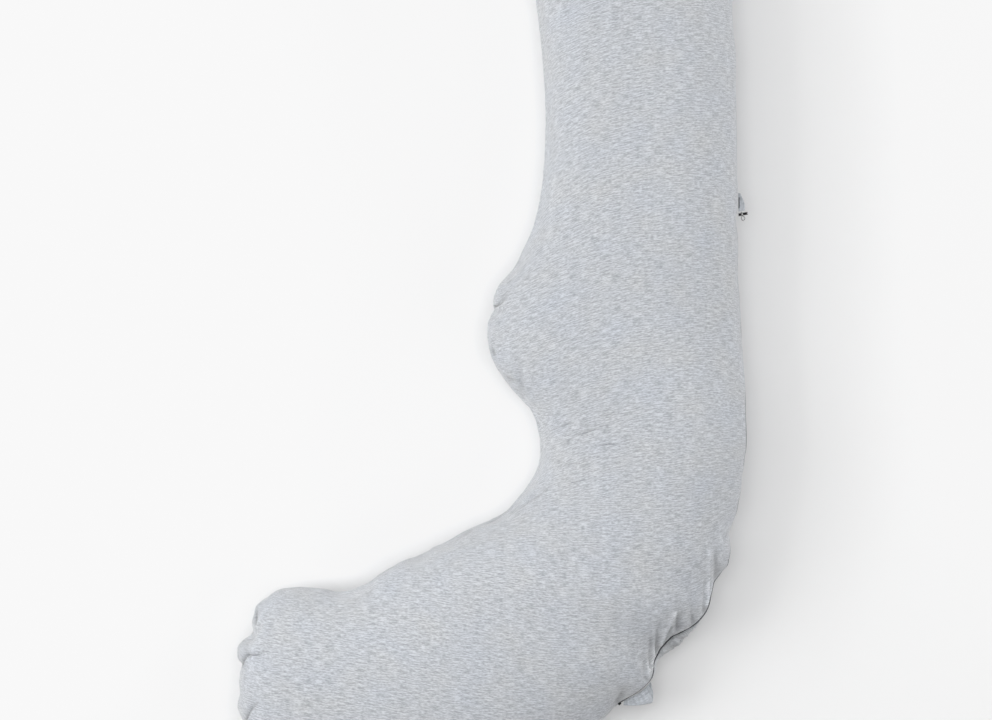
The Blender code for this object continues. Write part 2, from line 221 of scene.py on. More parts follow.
half = FLOOR_SIZE / 2
corners = [(-half, -half, 0), (half, -half, 0), (half, half, 0), (-half, half, 0)]
floor = mesh_object("floor", corners, [(0, 1, 2, 3)])
floor.data.materials.append(floor_paper())
floor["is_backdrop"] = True
print("floor:", FLOOR_SIZE, "m square")

# %% Seven soft boxes
BOX_SIZE = 1.6
BOX_DISTANCE = 3.6
AIM = Vector((0.05, -0.1, 0.05))
SoftBox = namedtuple("SoftBox", "name bearing height watts")  # angles in degrees, the bearing from +X
SOFT_BOXES = (
    SoftBox("left_low_by_head", 150, 25, 37),
    SoftBox("left_low_by_foot", 210, 25, 15),
    SoftBox("left_middle", 180, 45, 42),
    SoftBox("left_high", 180, 65, 26),
    SoftBox("overhead", 0, 90, 55),
    SoftBox("right_low_by_head", 30, 15, 66),
    SoftBox("right_high_by_foot", 330, 45, 20),
)


def hang_soft_box(row):
    """A square soft box on the dome over the pillow, which the camera doesn't see."""
    data = bpy.data.lights.new(row.name, "AREA")
    data.size = BOX_SIZE
    data.energy = row.watts
    box = add_object(row.name, data)
    bearing, height = math.radians(row.bearing), math.radians(row.height)
    level = math.cos(height)
    towards = Vector((level * math.cos(bearing), level * math.sin(bearing), math.sin(height)))
    box.location = AIM + towards * BOX_DISTANCE
    box.rotation_euler = towards.to_track_quat("Z", "Y").to_euler()
    box.visible_camera = False


for row in SOFT_BOXES:
    hang_soft_box(row)
print(len(SOFT_BOXES), "soft boxes,", sum(row.watts for row in SOFT_BOXES), "watts in all")

# %% White room, and the tone of the paper
ROOM_LIGHT = 0.02
PAPER_WHITE = 0.94  # the brightest tone that the floor reaches
PAPER_KNEE = 0.02  # this far under it the tones begin to level off

room = bpy.data.worlds.new("white_room")
room.use_nodes = True
background = room.node_tree.nodes["Background"]
background.inputs["Color"].default_value = (1.0, 1.0, 1.0, 1.0)
background.inputs["Strength"].default_value = ROOM_LIGHT
bpy.context.scene.world = room
viewing = bpy.context.scene.view_settings
viewing.view_transform = "Standard"
viewing.use_curve_mapping = True
tones = viewing.curve_mapping
tones.extend = "HORIZONTAL"
tones.curves[3].points.new(PAPER_WHITE - PAPER_KNEE, PAPER_WHITE - PAPER_KNEE)
tones.curves[3].points[-1].location = (1.0, PAPER_WHITE)
for point in tones.curves[3].points:
    point.handle_type = "VECTOR"
tones.update()
print("white room ready, the paper no brighter than", PAPER_WHITE)

# %% [markdown]
# ## The stuffed cover, step 1: let cloth settle on the solid
# The solid has the right size, but its flats between rings look carved. Real jersey is pushed out by the
# stuffing and held back by the seam. It could be sculpted by hand. Here a copy of the solid is remeshed
# into even cells and blown up a little by Blender's cloth solver, with a belt along the seam that shrinks
# as the sewing thread does. A cap keeps every point within a few millimetres of the solid, so the size
# stays true.

# %% Helpers for meshes
def baked(piece):
    """The mesh that an object's modifiers give it, as a new mesh."""
    graph = bpy.context.evaluated_depsgraph_get()
    return bpy.data.meshes.new_from_object(piece.evaluated_get(graph))


def positions(mesh):
    """A mesh's points as rows of numbers."""
    flat = np.empty(len(mesh.vertices) * 3, dtype=np.float32)
    mesh.vertices.foreach_get("co", flat)
    return flat.reshape(-1, 3).astype(np.float64)


def place_points(mesh, rows):
    """Gives a mesh's points new places."""
    mesh.vertices.foreach_set("co", np.asarray(rows, dtype=np.float32).ravel())
    mesh.update()


print("mesh helpers ready")

# %% Copy and remesh the solid
CELL = 6.2 * MM
WELD_REACH = 0.05 * MM
CARVED_SMOOTHING = (0.5, 3)  # how strongly the cells are smoothed, and how often


def remeshed_copy():
    """An evenly meshed, softened copy of the pillow's solid."""
    piece = add_object("settling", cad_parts["pillow"].data.copy())
    weld = piece.modifiers.new("weld", "WELD")
    weld.merge_threshold = WELD_REACH
    soften = piece.modifiers.new("soften", "SUBSURF")
    soften.levels = soften.render_levels = 1
    even = piece.modifiers.new("even", "REMESH")
    even.mode = "VOXEL"
    even.voxel_size = CELL
    smooth = piece.modifiers.new("smooth", "SMOOTH")
    smooth.factor, smooth.iterations = CARVED_SMOOTHING
    piece.data = baked(piece)
    piece.modifiers.clear()
    return piece


settling = remeshed_copy()
print("settling mesh:", len(settling.data.vertices), "points")

# %% Blow the copy up and let it settle
SHRINK_BELT = 14 * MM  # how far to each side of the seam the thread draws the cloth together
MOST_MOVE = 4.5 * MM
TINY = 1e-12  # keeps a division by nothing from failing
SIM_FRAMES = 14
DRIFT_PASSES = 22
HOLD = 0.25  # how strongly each point is drawn back to the solid
JERSEY_SETTINGS = {
    "quality": 4,
    "mass": 0.25,
    "tension_stiffness": 15,
    "compression_stiffness": 15,
    "bending_stiffness": 0.4,
    "use_pressure": True,
    "uniform_pressure_force": 4,
    "vertex_group_mass": "hold",
    "pin_stiffness": 0.6,
    "vertex_group_shrink": "seam_belt",
    "shrink_min": 0.0,
    "shrink_max": 0.04,
}


def slow_part(mesh, moves):
    """The moves averaged over a wide neighbourhood, so that only their drift is left."""
    pairs = np.empty(len(mesh.edges) * 2, dtype=np.int64)
    mesh.edges.foreach_get("vertices", pairs)
    one, two = pairs.reshape(-1, 2).T
    neighbours = np.bincount(one, minlength=len(moves)) + np.bincount(two, minlength=len(moves))
    slow = moves.copy()
    for _ in range(DRIFT_PASSES):
        gathered = np.stack([
            np.bincount(one, slow[two, axis], len(moves)) + np.bincount(two, slow[one, axis], len(moves))
            for axis in range(3)
        ], axis=1)
        slow = (slow + gathered) / (neighbours + 1)[:, None]
    return slow


def inflate(piece):
    """Runs the cloth solver on a piece and keeps the wrinkles it makes, without its drift."""
    start = positions(piece.data)
    hold = piece.vertex_groups.new(name="hold")
    hold.add(range(len(start)), HOLD, "REPLACE")
    belt = piece.vertex_groups.new(name="seam_belt")
    away = np.abs(start[:, 2] - SEAM_HEIGHT)
    for index in np.nonzero(away < SHRINK_BELT)[0]:
        belt.add([int(index)], float(1 - away[index] / SHRINK_BELT), "REPLACE")
    cloth = piece.modifiers.new("jersey", "CLOTH")
    for setting, value in JERSEY_SETTINGS.items():
        setattr(cloth.settings, setting, value)
    cloth.settings.effector_weights.gravity = 0
    cloth.point_cache.frame_start = 1
    cloth.point_cache.frame_end = SIM_FRAMES
    for frame_number in range(1, SIM_FRAMES + 1):
        bpy.context.scene.frame_set(frame_number)
    moved = positions(baked(piece)) - start
    moved -= slow_part(piece.data, moved)
    piece.modifiers.clear()
    length = np.linalg.norm(moved, axis=1)
    held = moved * np.minimum(1, MOST_MOVE / np.maximum(length, TINY))[:, None]
    place_points(piece.data, start + held)
    mean, most = round(length.mean() / MM, 2), round(length.max() / MM, 2)
    print("cloth moved", mean, "mm on average,", most, "at most")


inflate(settling)

# %% [markdown]
# ## The stuffed cover, step 2: read the settled cloth in rings
# The remeshed cloth is a crowd of cells with no direction, and a sewn cover has one: it runs along the tube
# and round it. So the final mesh is read off the settled one with rays. At each station along the body a
# fan of rays looks outwards, and where they land gives one ring. Stations stand close together where the
# folds are fine, and points crowd towards the seam, so the triangles go where the eye does.

# %% Helpers for runs of points
def reach_along(points):
    """How far along a run each of its points lies, from 0 at the first."""
    return np.concatenate([[0], np.cumsum(np.linalg.norm(np.diff(points, axis=0), axis=1))])


def unit(rows):
    """The same directions with a length of 1."""
    return rows / np.maximum(np.linalg.norm(rows, axis=-1, keepdims=True), TINY)


def eased(share):
    """A share from 0 to 1 that sets out and arrives gently."""
    return share * share * (3 - 2 * share)


def curve_between(start, end, leave, arrive, share):
    """Places on a smooth curve from one place to another, with the slopes at both."""
    ease = eased(share)
    bends = (share**3 - 2 * share**2 + share) * leave + (share**3 - share**2) * arrive
    return start * (1 - ease) + end * ease + bends


def relaxed(path, passes):
    """Draws every inner point of a run towards its two neighbours, again and again."""
    for _ in range(passes):
        path[1:-1] = (path[:-2] + 2 * path[1:-1] + path[2:]) / 4
    return path


print("helpers for runs of points ready")

# %% Stations along the body
Station = namedtuple("Station", "across along turn step")  # the ring's middle in mm, its heading in degrees
STATIONS = (
    Station(71, 551, 32, 8),  # the head
    Station(117, 461, 22, 8),
    Station(146, 366, 12, 8),
    Station(161, 267, 0, 7),  # the straight trunk
    Station(169, 138, 0, 7),
    Station(163, 4, -2, 5),
    Station(152, -52, -3, 1.7),  # the lobe
    Station(139, -111, -3, 3),
    Station(156, -187, -2, 4),
    Station(171, -256, -4, 4),  # the bend
    Station(150, -327, -10, 3),
    Station(104, -390, -17, 1.7),  # the gathered stretch
    Station(72, -413, -19, 1.7),
    Station(43, -434, -21, 1.8),
    Station(0, -473, -26, 3),
    Station(-27, -493, -32, 4),  # the leg
    Station(-69, -514, -40, 5),
    Station(-114, -526, -47, 4),
    Station(-158, -536, -52, 3),
    Station(-204, -548, -54, 3),
)


def smooth_curve(rows):
    """Reads rows of (values..., step) on a smooth curve, and gives the values at every step along it."""
    values = np.array([row[:-1] for row in rows], dtype=float)
    reach = reach_along(values[:, :2])
    slopes = np.gradient(values, reach, axis=0)
    found = []
    for number, row in enumerate(rows[:-1]):
        span = reach[number + 1] - reach[number]
        count = max(1, round(span / row[-1]))
        ends = (values[number], values[number + 1], span * slopes[number], span * slopes[number + 1])
        found += [curve_between(*ends, share) for share in np.arange(count) / count]
    return np.array(found + [values[-1]])


stations = smooth_curve(STATIONS)
print(len(stations), "stations between head and foot")

# %% One ring, where the rays land
OVER_POINTS = 144  # round the upper panel, from the outer seam to the inner one
UNDER_POINTS = 46
CROWDING = 0.62  # 0 spaces the points evenly, near 1 crowds them at the seams
RAYS = 110  # over each panel
FAR = 1.0  # metres, further than any ray has to go


def surface_tree(mesh):
    """A search tree over a mesh's faces, for rays."""
    points = [tuple(row) for row in positions(mesh)]
    return BVHTree.FromPolygons(points, [tuple(face.vertices) for face in mesh.polygons])


def crowded(points, count):
    """Spaces count + 1 points along a run of points, closer together towards its two ends."""
    points = np.array(points)
    reach = reach_along(points)
    even = np.linspace(0, 1, count + 1)
    goal = (even - CROWDING * np.sin(2 * math.pi * even) / (2 * math.pi)) * reach[-1]
    return np.stack([np.interp(goal, reach, points[:, axis]) for axis in range(3)], axis=1)


def ring_at(tree, middle, side):
    """One ring: from the outer seam over the top to the inner seam, and back underneath."""
    outer = tree.ray_cast(middle, side, FAR)[0]
    inner = tree.ray_cast(middle, -side, FAR)[0]
    centre = (outer + inner) / 2
    over, under = [], []
    for number in range(RAYS + 1):
        angle = math.pi * number / RAYS
        for run, rise in ((over, UP), (under, -UP)):
            run.append(tree.ray_cast(centre, side * math.cos(angle) + rise * math.sin(angle), FAR)[0])
    return np.concatenate([crowded(over, OVER_POINTS)[:-1], crowded(under, UNDER_POINTS)[:0:-1]])


settled_tree = surface_tree(settling.data)
bpy.data.objects.remove(settling)
print("rays ready:", RAYS + 1, "over each panel")

# %% A ring at every station, and round both ends
HEAD_RINGS = 16
FOOT_RINGS = 60
SOFTENING = 4  # passes of smoothing that take the cells' corners off


def turned(degrees):
    """The level direction that points a number of degrees from +X towards +Y."""
    return Vector((math.cos(math.radians(degrees)), math.sin(math.radians(degrees)), 0.0))


def dome_frames(tree, station, ahead_turn, count):
    """The middles and headings of the rings that close one end, and the point at its tip."""
    middle = Vector((station[0], station[1], SEAM_HEIGHT / MM)) * MM
    side, ahead = turned(station[2]), turned(station[2] + ahead_turn)
    tip = tree.ray_cast(middle, ahead, FAR)[0]
    forward = [math.sin(math.pi / 2 * number / count) * (tip - middle).length for number in range(1, count)]
    return [(middle + ahead * step, side) for step in forward], np.array(tip)


def ring_frames(tree):
    """The middle and the sideways direction of every ring from head to foot, and the two tips."""
    head, head_tip = dome_frames(tree, stations[0], 90, HEAD_RINGS)
    foot, foot_tip = dome_frames(tree, stations[-1], -90, FOOT_RINGS)
    body = [
        (Vector((across * MM, along * MM, SEAM_HEIGHT)), turned(turn))
        for across, along, turn in stations
    ]
    return head[::-1] + body + foot, head_tip, foot_tip


def softened(grid, passes):
    """Averages every point a little with its four neighbours."""
    for _ in range(passes):
        around = (np.roll(grid, 1, axis=1) + np.roll(grid, -1, axis=1)) / 2
        grid = grid.copy()
        grid[1:-1] += (around[1:-1] + (grid[:-2] + grid[2:]) / 2 - 2 * grid[1:-1]) / 4
    return grid


frames, head_tip, foot_tip = ring_frames(settled_tree)
rings = np.array([ring_at(settled_tree, middle, side) for middle, side in frames])
rings = softened(rings, SOFTENING)
RING_COUNT, AROUND = rings.shape[:2]
print(RING_COUNT, "rings of", AROUND, "points")

# %% Small pushes that the seams get
# The solid's seam is an even curve. The real one wanders a little, and these rows push it, all in mm:
# where, how far across and along, and how far to each side the push reaches.
SeamPush = namedtuple("SeamPush", "place push reach")
SEAM_PUSHES = (
    # along the zip
    SeamPush((275, 240), (-1.4, 0.0), 22),
    SeamPush((277, 197), (1.0, 0.0), 16),
    SeamPush((280, 40), (1.2, 0.0), 12),
    SeamPush((280, 12), (-2.2, 0.0), 12),
    SeamPush((281, -42), (-1.2, 0.0), 22),
    SeamPush((289, -262), (-1.9, 0.0), 9),
    SeamPush((287, -280), (-1.9, 0.0), 9),
    SeamPush((282, -305), (0.8, 0.0), 8),
    SeamPush((278, -320), (1.2, 0.0), 8),
    SeamPush((272, -345), (-1.9, 0.3), 9),
    SeamPush((267, -383), (2.0, -1.2), 6),
    SeamPush((255, -403), (-1.7, 0.8), 6),
    SeamPush((207, -466), (-0.8, 1.2), 7),
    SeamPush((193, -481), (-0.6, 0.4), 6),
    SeamPush((185, -496), (-1.3, 0.3), 8),
    # the lobe's tuck
    SeamPush((3, -80), (-2.8, 0.0), 7),
    SeamPush((4, -87), (-2.2, 0.8), 5),
    SeamPush((-4, -97), (1.4, -0.6), 5),
    # the foot's corners
    SeamPush((-230, -410), (0.0, -1.8), 15),
    SeamPush((-263, -425), (-1.6, 1.6), 7),
    SeamPush((-270, -432), (-2.6, 1.8), 7),
    SeamPush((-281, -456), (5.0, -2.0), 8),
    SeamPush((-287, -465), (3.6, -2.6), 7),
    SeamPush((-290, -477), (-2.4, 0.0), 5),
    SeamPush((-290, -488), (-3.0, 0.0), 6),
    SeamPush((-291, -502), (2.3, -0.4), 6),
    SeamPush((-293, -510), (1.8, 0.0), 6),
    SeamPush((-294, -527), (2.6, 0.0), 13),
    SeamPush((-289, -555), (-0.6, -0.4), 7),
)


def pushed(seam):
    """A seam after the pushes."""
    moved = seam.copy()
    for row in SEAM_PUSHES:
        away = np.linalg.norm(seam[:, :2] / MM - np.array(row.place), axis=1)
        moved[:, :2] += np.exp(-((away / row.reach) ** 2))[:, None] * np.array(row.push) * MM
    return moved


print(len(SEAM_PUSHES), "pushes")

# %% Draw the two seams back to the solid's own
SEAM_HOLD = 12 * MM  # this near a seam the cloth follows it fully
SEAM_REACH = 60 * MM  # and this far away not at all
HAIR = 0.2 * MM  # the rays miss the solid's edge by a hair
solid_tree = surface_tree(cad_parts["pillow"].data)


def solid_seam(way):
    """Where the solid's seam lies at every ring: way is 1 on the outer side, -1 on the inner one."""
    hair = Vector((0, 0, HAIR))
    hits = [solid_tree.ray_cast(middle + hair, side * way, FAR)[0] for middle, side in frames]
    return np.array([hit - hair for hit in hits])


def cloth_run(grid):
    """How far over the cloth each point of a ring lies from its outer seam, and the whole way round."""
    steps = np.linalg.norm(np.roll(grid, -1, axis=1) - grid, axis=2)
    run = np.zeros(grid.shape[:2])
    run[:, 1:] = np.cumsum(steps, axis=1)[:, :-1]
    return run, steps.sum(axis=1)[:, None]


def draw_back(grid, seam, row):
    """Moves the cloth beside one seam so that its row lies on the seam's right place."""
    run, around = cloth_run(grid)
    away = np.abs(run - run[:, row][:, None])
    away = np.minimum(away, around - away)
    share = eased(np.clip((SEAM_REACH - away) / (SEAM_REACH - SEAM_HOLD), 0, 1))
    shift = seam - grid[:, row]
    shift[:, 2] = 0
    print("seam drawn back by", round(np.linalg.norm(shift, axis=1).max() / MM, 1), "mm at most")
    return grid + share[..., None] * shift[:, None]


outer_seam, inner_seam = pushed(solid_seam(1)), pushed(solid_seam(-1))
rings = draw_back(rings, outer_seam, 0)
rings = draw_back(rings, inner_seam, OVER_POINTS)

# %% [markdown]
# ## The stuffed cover, step 3: folds one by one
# A solver gives even puckers, but the folds of one real cover are its character: the tuck where the lobe
# starts, the gathers above the zip, the creases that cross the bend and the pinched corners of the foot.
# Each is one row of a table, a short curved line with a width and a depth. A trough pushes the cloth in, a
# ridge is a trough with a negative depth, and a lip gives one side the raised edge that real folds have. In
# a tuck the cloth doubles over itself and light hardly gets in. The mesh doesn't overlap, so each fold may
# also carry painted shade, and each ridge a painted highlight, kept as a value at every point for the
# material to use.

# %% Tables of folds
Fold = namedtuple("Fold", "line width depth lip below start end shade")
# line: its points in mm, as they look from straight above at the height of the seam. width and depth in mm.
# lip: how high the cloth stands beside it, as a share of its depth, on its right-hand side if positive and
# on its left if negative. below: how far under the seam it reaches, in mm, or how far above it it ends if
# negative. start and end: the share of its depth that it has at each end. shade: how dark the painted shade
# along its line is, from 0 to 1, or how bright the painted highlight along a ridge is if negative.
FOLDS = (
    # the tuck where the lobe starts
    Fold(((0, -86), (5, -83.7), (15, -76.5)), 2.1, 4.6, 0.0, 0, 1.0, 0.2, 0.62),
    Fold(((1, -89), (9.6, -83.3), (20, -75)), 1.5, -2.2, 0.0, -1, 1.0, 0.3, -0.24),
    Fold(((8, -79), (13, -73.5), (19, -66.5)), 1.3, 1.6, 0.0, 0, 0.6, 0.6, 0.24),
    Fold(((-1.8, -134), (-0.6, -138), (1, -141)), 1.4, 1.6, 0.0, 0, 0.6, 1.0, 0.50),
    # the dimple and the band where the lobe ends
    Fold(((16, -168.5), (20.5, -171), (23.5, -172)), 2.2, 2.8, -0.3, 0, 0.7, 1.0, 0.36),
    Fold(((29.5, -150), (30, -166), (33, -185)), 3.8, 2.2, 0.3, 0, 0.4, 1.0, 0.18),
    Fold(((18, -175), (27, -186), (38, -199)), 1.6, -1.6, 0.0, -1, 0.8, 0.8, -0.20),
    # across the bend
    Fold(((62, -232), (76, -223.5), (92, -219)), 1.8, 1.8, 0.3, 0, 0.4, 0.6, 0.06),
    Fold(((83, -245), (112, -228.5), (142, -218.5)), 1.8, 2.2, 0.3, 0, 0.5, 0.7, 0.08),
    Fold(((116, -244.5), (130, -245), (142, -243.5)), 1.8, 1.6, 0.3, 0, 0.6, 0.6, 0.06),
    Fold(((80, -269), (93, -266.5), (106, -266)), 1.8, 1.4, 0.3, 0, 0.5, 0.5, 0.05),
    Fold(((80, -293), (94, -288), (106, -284)), 1.8, 1.4, 0.3, 0, 0.5, 0.5, 0.05),
    Fold(((20, -322), (36, -313), (60, -297)), 1.8, 2.4, 0.4, 0, 1.0, 0.4, 0.24),
    Fold(((24, -310), (10, -325), (-8, -335)), 1.2, 1.4, 0.3, 0, 0.6, 1.0, 0.20),
    Fold(((-26, -343.5), (-34, -348.5), (-42, -354)), 1.2, 1.4, 0.3, 0, 1.0, 0.6, 0.20),
    # the gathers above the zip
    Fold(((247, -366), (246.5, -398), (244.5, -431)), 1.9, -3.4, 0.0, 0, 0.6, 1.0, -0.60),
    Fold(((252, -376), (250.6, -409), (248.5, -430)), 1.2, -2.0, 0.0, 0, 0.4, 1.0, -0.50),
    Fold(((249.6, -376), (248.6, -404), (246.6, -430)), 1.1, 1.6, 0.0, -4, 0.3, 1.0, 0.30),
    Fold(((243, -400), (242.4, -420), (241.5, -437)), 1.9, 2.0, 0.0, -4, 0.3, 1.0, 0.22),
    Fold(((255, -366), (256, -386), (255.5, -400)), 2.8, 3.0, 0.0, -5, 0.6, 1.0, 0.26),
    Fold(((226.5, -416), (227.5, -434), (229, -450)), 3.6, 2.8, 0.0, -5, 0.3, 1.0, 0.17),
    Fold(((212.6, -432), (212.3, -446), (212, -456)), 3.5, 4.5, 0.0, -5, 0.2, 1.0, 0.30),
    Fold(((209, -439), (201, -454), (191.5, -474)), 1.8, -3.6, 0.0, 0, 0.6, 1.0, -0.58),
    Fold(((205, -454), (200.5, -463), (195, -474)), 1.4, 2.4, 0.0, -4, 0.5, 1.0, 0.40),
    Fold(((191, -450), (187.5, -468), (187.5, -486)), 2.2, 4.0, 0.0, -5, 0.3, 1.0, 0.30),
    Fold(((186, -464), (184.5, -482), (183.5, -501)), 1.8, -3.2, 0.0, 0, 0.5, 1.0, -0.56),
    Fold(((180, -466), (180, -486), (180.5, -500)), 2.0, 2.8, 0.0, -5, 0.3, 1.0, 0.26),
    Fold(((178.5, -494), (178.3, -512)), 1.8, -2.4, 0.0, -1, 0.5, 1.0, -0.46),
    Fold(((172, -488), (174, -502), (176, -514)), 3.8, 2.2, 0.0, -5, 0.5, 1.0, 0.18),
    Fold(((152, -524), (147, -532), (143, -540)), 3.6, 2.6, 0.3, -4, 0.2, 1.0, 0.26),
    Fold(((147.2, -532.8), (148.3, -534)), 1.1, 0.8, 0.0, 0, 1.0, 1.0, 0.60),
    # the foot
    Fold(((-261, -434), (-267, -443), (-272.6, -451)), 1.8, -2.0, 0.0, 0, 0.5, 1.0, -0.14),
    Fold(((-273, -437), (-273.6, -444), (-273.2, -451)), 1.7, 3.0, 0.0, 0, 0.5, 0.9, 0.70),
    Fold(((-289.4, -498), (-287.4, -491.5), (-283, -485.5)), 2.3, 4.4, 0.0, 2, 1.0, 0.42, 0.74),
    Fold(((-283, -486.8), (-272, -486), (-260, -482)), 1.8, 2.2, 0.0, 0, 0.9, 0.3, 0.30),
    Fold(((-289, -500), (-285, -494), (-278, -489.5)), 1.6, -2.0, 0.0, 0, 1.0, 0.4, -0.20),
    Fold(((-285, -561), (-280, -551), (-271, -541)), 2.2, 3.6, 0.4, 0, 1.0, 0.4, 0.56),
    Fold(((-262, -600), (-250, -586)), 5.0, 3.0, 0.3, 10, 1.0, 0.2, 0.10),
    # the head
    Fold(((-40, 616), (-22, 596)), 6.0, 3.0, 0.3, 10, 1.0, 0.2, 0.10),
    Fold(((24, 662), (32, 630)), 6.0, 3.0, -0.3, 10, 1.0, 0.2, 0.10),
    Fold(((100, 640), (86, 616)), 6.0, 3.0, 0.3, 10, 1.0, 0.2, 0.10),
)
print(len(FOLDS), "folds")

# %% Helpers for a surface seen from above
def seen_flat(points):
    """Where the camera sees points, carried down or up its line of sight to the level of the seam."""
    offset = points - np.array(CAMERA_PLACE)
    return np.array(CAMERA_PLACE) + offset * ((SEAM_HEIGHT - CAMERA_PLACE.z) / offset[..., 2])[..., None]


def ring_normals(grid):
    """The outward direction at every point of the rings."""
    along = np.gradient(grid, axis=0)
    around = np.roll(grid, -1, axis=1) - np.roll(grid, 1, axis=1)
    return unit(np.cross(around, along))


def nearest_on_line(plan, line):
    """For each point seen from above: its distance from a line, which side it is on, and how far along."""
    line = np.array(line, dtype=float)
    lengths = np.linalg.norm(np.diff(line, axis=0), axis=1)
    total = lengths.sum()
    best = np.full(plan.shape[:2], np.inf)
    side = np.zeros(plan.shape[:2])
    share = np.zeros(plan.shape[:2])
    passed = 0.0
    for start, end, length in zip(line, line[1:], lengths):
        run = (end - start) / length
        offset = plan - start
        at = np.clip(offset @ run, 0, length)
        across = offset - at[..., None] * run
        away = np.linalg.norm(across, axis=2)
        closer = away < best
        best = np.where(closer, away, best)
        right = offset[..., 0] * run[1] - offset[..., 1] * run[0]
        side = np.where(closer, np.sign(right), side)
        share = np.where(closer, (passed + at) / total, share)
        passed += length
    return best, side, share


print("helpers for the view from above ready")

# %% Press the folds into the rings
LIP_AWAY = 1.7  # the lip's distance from the fold's line, in widths
FADE = 4  # mm, over which a fold fades out at its lower end
PALEST, DARKEST = -0.7, 0.75  # where folds cross, their painted highlights and painted shades don't add up past these


def rounded_line(line):
    """A line of three points as a smooth curve of nine, while a line of two stays straight."""
    if len(line) == 2:
        return line
    start, middle, end = [np.array(point, dtype=float) for point in line]
    pull = 2 * middle - (start + end) / 2
    return [(1 - t) ** 2 * start + 2 * t * (1 - t) * pull + t * t * end for t in np.linspace(0, 1, 9)]


def fold_moves(grid):
    """How far every point moves outwards for all the folds, in metres, and its painted shade or painted
    highlight.
    """
    plan = seen_flat(grid)[..., :2] / MM
    rise = (grid[..., 2] - SEAM_HEIGHT) / MM
    moves = np.zeros(grid.shape[:2])
    shade = np.zeros(grid.shape[:2])
    for fold in FOLDS:
        away, side, share = nearest_on_line(plan, rounded_line(fold.line))
        trough = -np.exp(-((away / fold.width) ** 2))
        lip_side = np.sign(fold.lip) if fold.lip else 1
        beside = np.exp(-(((away * side * lip_side) / fold.width - LIP_AWAY) ** 2))
        strength = fold.start + (fold.end - fold.start) * share
        upper = np.clip((rise + fold.below) / FADE + 0.5, 0, 1)
        moves += fold.depth * strength * upper * (trough + abs(fold.lip) * beside)
        shade -= fold.shade * strength * upper * trough
    return moves * MM, np.clip(shade, PALEST, DARKEST)


smooth_rings = rings
moves, crease_shade = fold_moves(rings)
rings = rings + ring_normals(rings) * moves[..., None]
print("folds pressed in, the darkest", round(float(crease_shade.max()), 2))

# %% [markdown]
# ## The stuffed cover, step 4: the seam and the lumps of the stuffing
# Along the seam the thread pulls the two panels into a narrow valley, with a soft roll on each side and
# small puckers at every few stitches. The stuffing itself is never quite even, so the surface swells and
# sinks by about a millimetre over a hand's width. Both could be bump in the material, but a valley in the
# mesh also shows in the outline.

# %% Distances and noise along the seams
GATHER_MIDDLE = (0.203, -0.473)  # the most gathered place of the zip's seam, seen from above


def seam_distance(grid):
    """How far each point lies from the nearer seam, measured over the cloth."""
    run, around = cloth_run(grid)
    inner = run[:, OVER_POINTS][:, None]
    return np.minimum(np.abs(run - inner), np.minimum(run, around - run))


def noise_at(rows, size, seed):
    """Smooth noise from -1 to 1 at a list of places."""
    return np.array([noise.noise(Vector(row) / size + Vector((seed, 0, 0))) for row in rows])


def gathered(length):
    """How much each ring belongs to the gathered stretch, from 0 to 1."""
    away = np.linalg.norm(outer_seam[:, :2] - np.array(GATHER_MIDDLE), axis=1)
    return np.exp(-((away / length) ** 2))


def seam_noise(seam, size, seed):
    """Smooth noise from -1 to 1 along a seam."""
    return noise_at([(value, 0, 0) for value in reach_along(seam)], size, seed)


print("helpers for the seams ready")

# %% Valley, rolls and puckers
VALLEY_DEPTH = 1.1 * MM
VALLEY_WIDTH = 1.5 * MM
SEAM_SHADE = 0.35  # how dark the painted shade in the seam's valley is
ROLL_HEIGHT = 0.3 * MM
ROLL_AWAY = 6 * MM
ROLL_WIDTH = 4 * MM
PUCKER_DEPTH = 0.7 * MM
PUCKER_LENGTH = 11 * MM
PUCKER_REACH = 10 * MM
OUTER_SEED, INNER_SEED = 11, 37
GATHER_LENGTH = 60 * MM
GATHER_MORE = 1.4  # the puckers there are this much deeper


def pucker_moves(distance):
    """Small dents along both seams, a little deeper or shallower as they go."""
    inner_half = np.zeros(AROUND, dtype=bool)
    inner_half[OVER_POINTS // 2 : OVER_POINTS + UNDER_POINTS // 2] = True
    moves = np.exp(-((distance / PUCKER_REACH) ** 1.5)) * PUCKER_DEPTH
    for seam, half, seed in ((outer_seam, ~inner_half, OUTER_SEED), (inner_seam, inner_half, INNER_SEED)):
        moves[:, half] *= seam_noise(seam, PUCKER_LENGTH, seed)[:, None]
    return moves * (1 + GATHER_MORE * gathered(GATHER_LENGTH))[:, None]


def seam_moves(grid):
    """The valley, the rolls and the puckers of the seam, as outward moves."""
    distance = seam_distance(grid)
    valley = -VALLEY_DEPTH * np.exp(-((distance / VALLEY_WIDTH) ** 2))
    roll = ROLL_HEIGHT * np.exp(-(((distance - ROLL_AWAY) / ROLL_WIDTH) ** 2))
    return valley + roll + pucker_moves(distance)


def seam_shade(grid):
    """How dark the painted shade in the valleys of the two seams is at every point."""
    return SEAM_SHADE * np.exp(-((seam_distance(grid) / VALLEY_WIDTH) ** 2))


normals = ring_normals(rings)
sewn_moves = seam_moves(rings)
print("seam moves up to", round(np.abs(sewn_moves).max() / MM, 1), "mm")

# %% The bulge beneath the gathers
BULGE_LENGTH = 22 * MM  # the lower panel swells out beneath the gathers, over this length
BULGE_OUT = 15 * MM
BULGE_DROP = 20 * MM  # and most this far under the seam
BULGE_PLEAT = 5 * MM  # the pleats in it are about this wide
BULGE_SHADE = 0.34  # and the painted shade in them this dark
PLEAT_OUT, PLEAT_SHADE = 0.25, 1.5  # how much the pleats change both
BULGE_SEED = 71


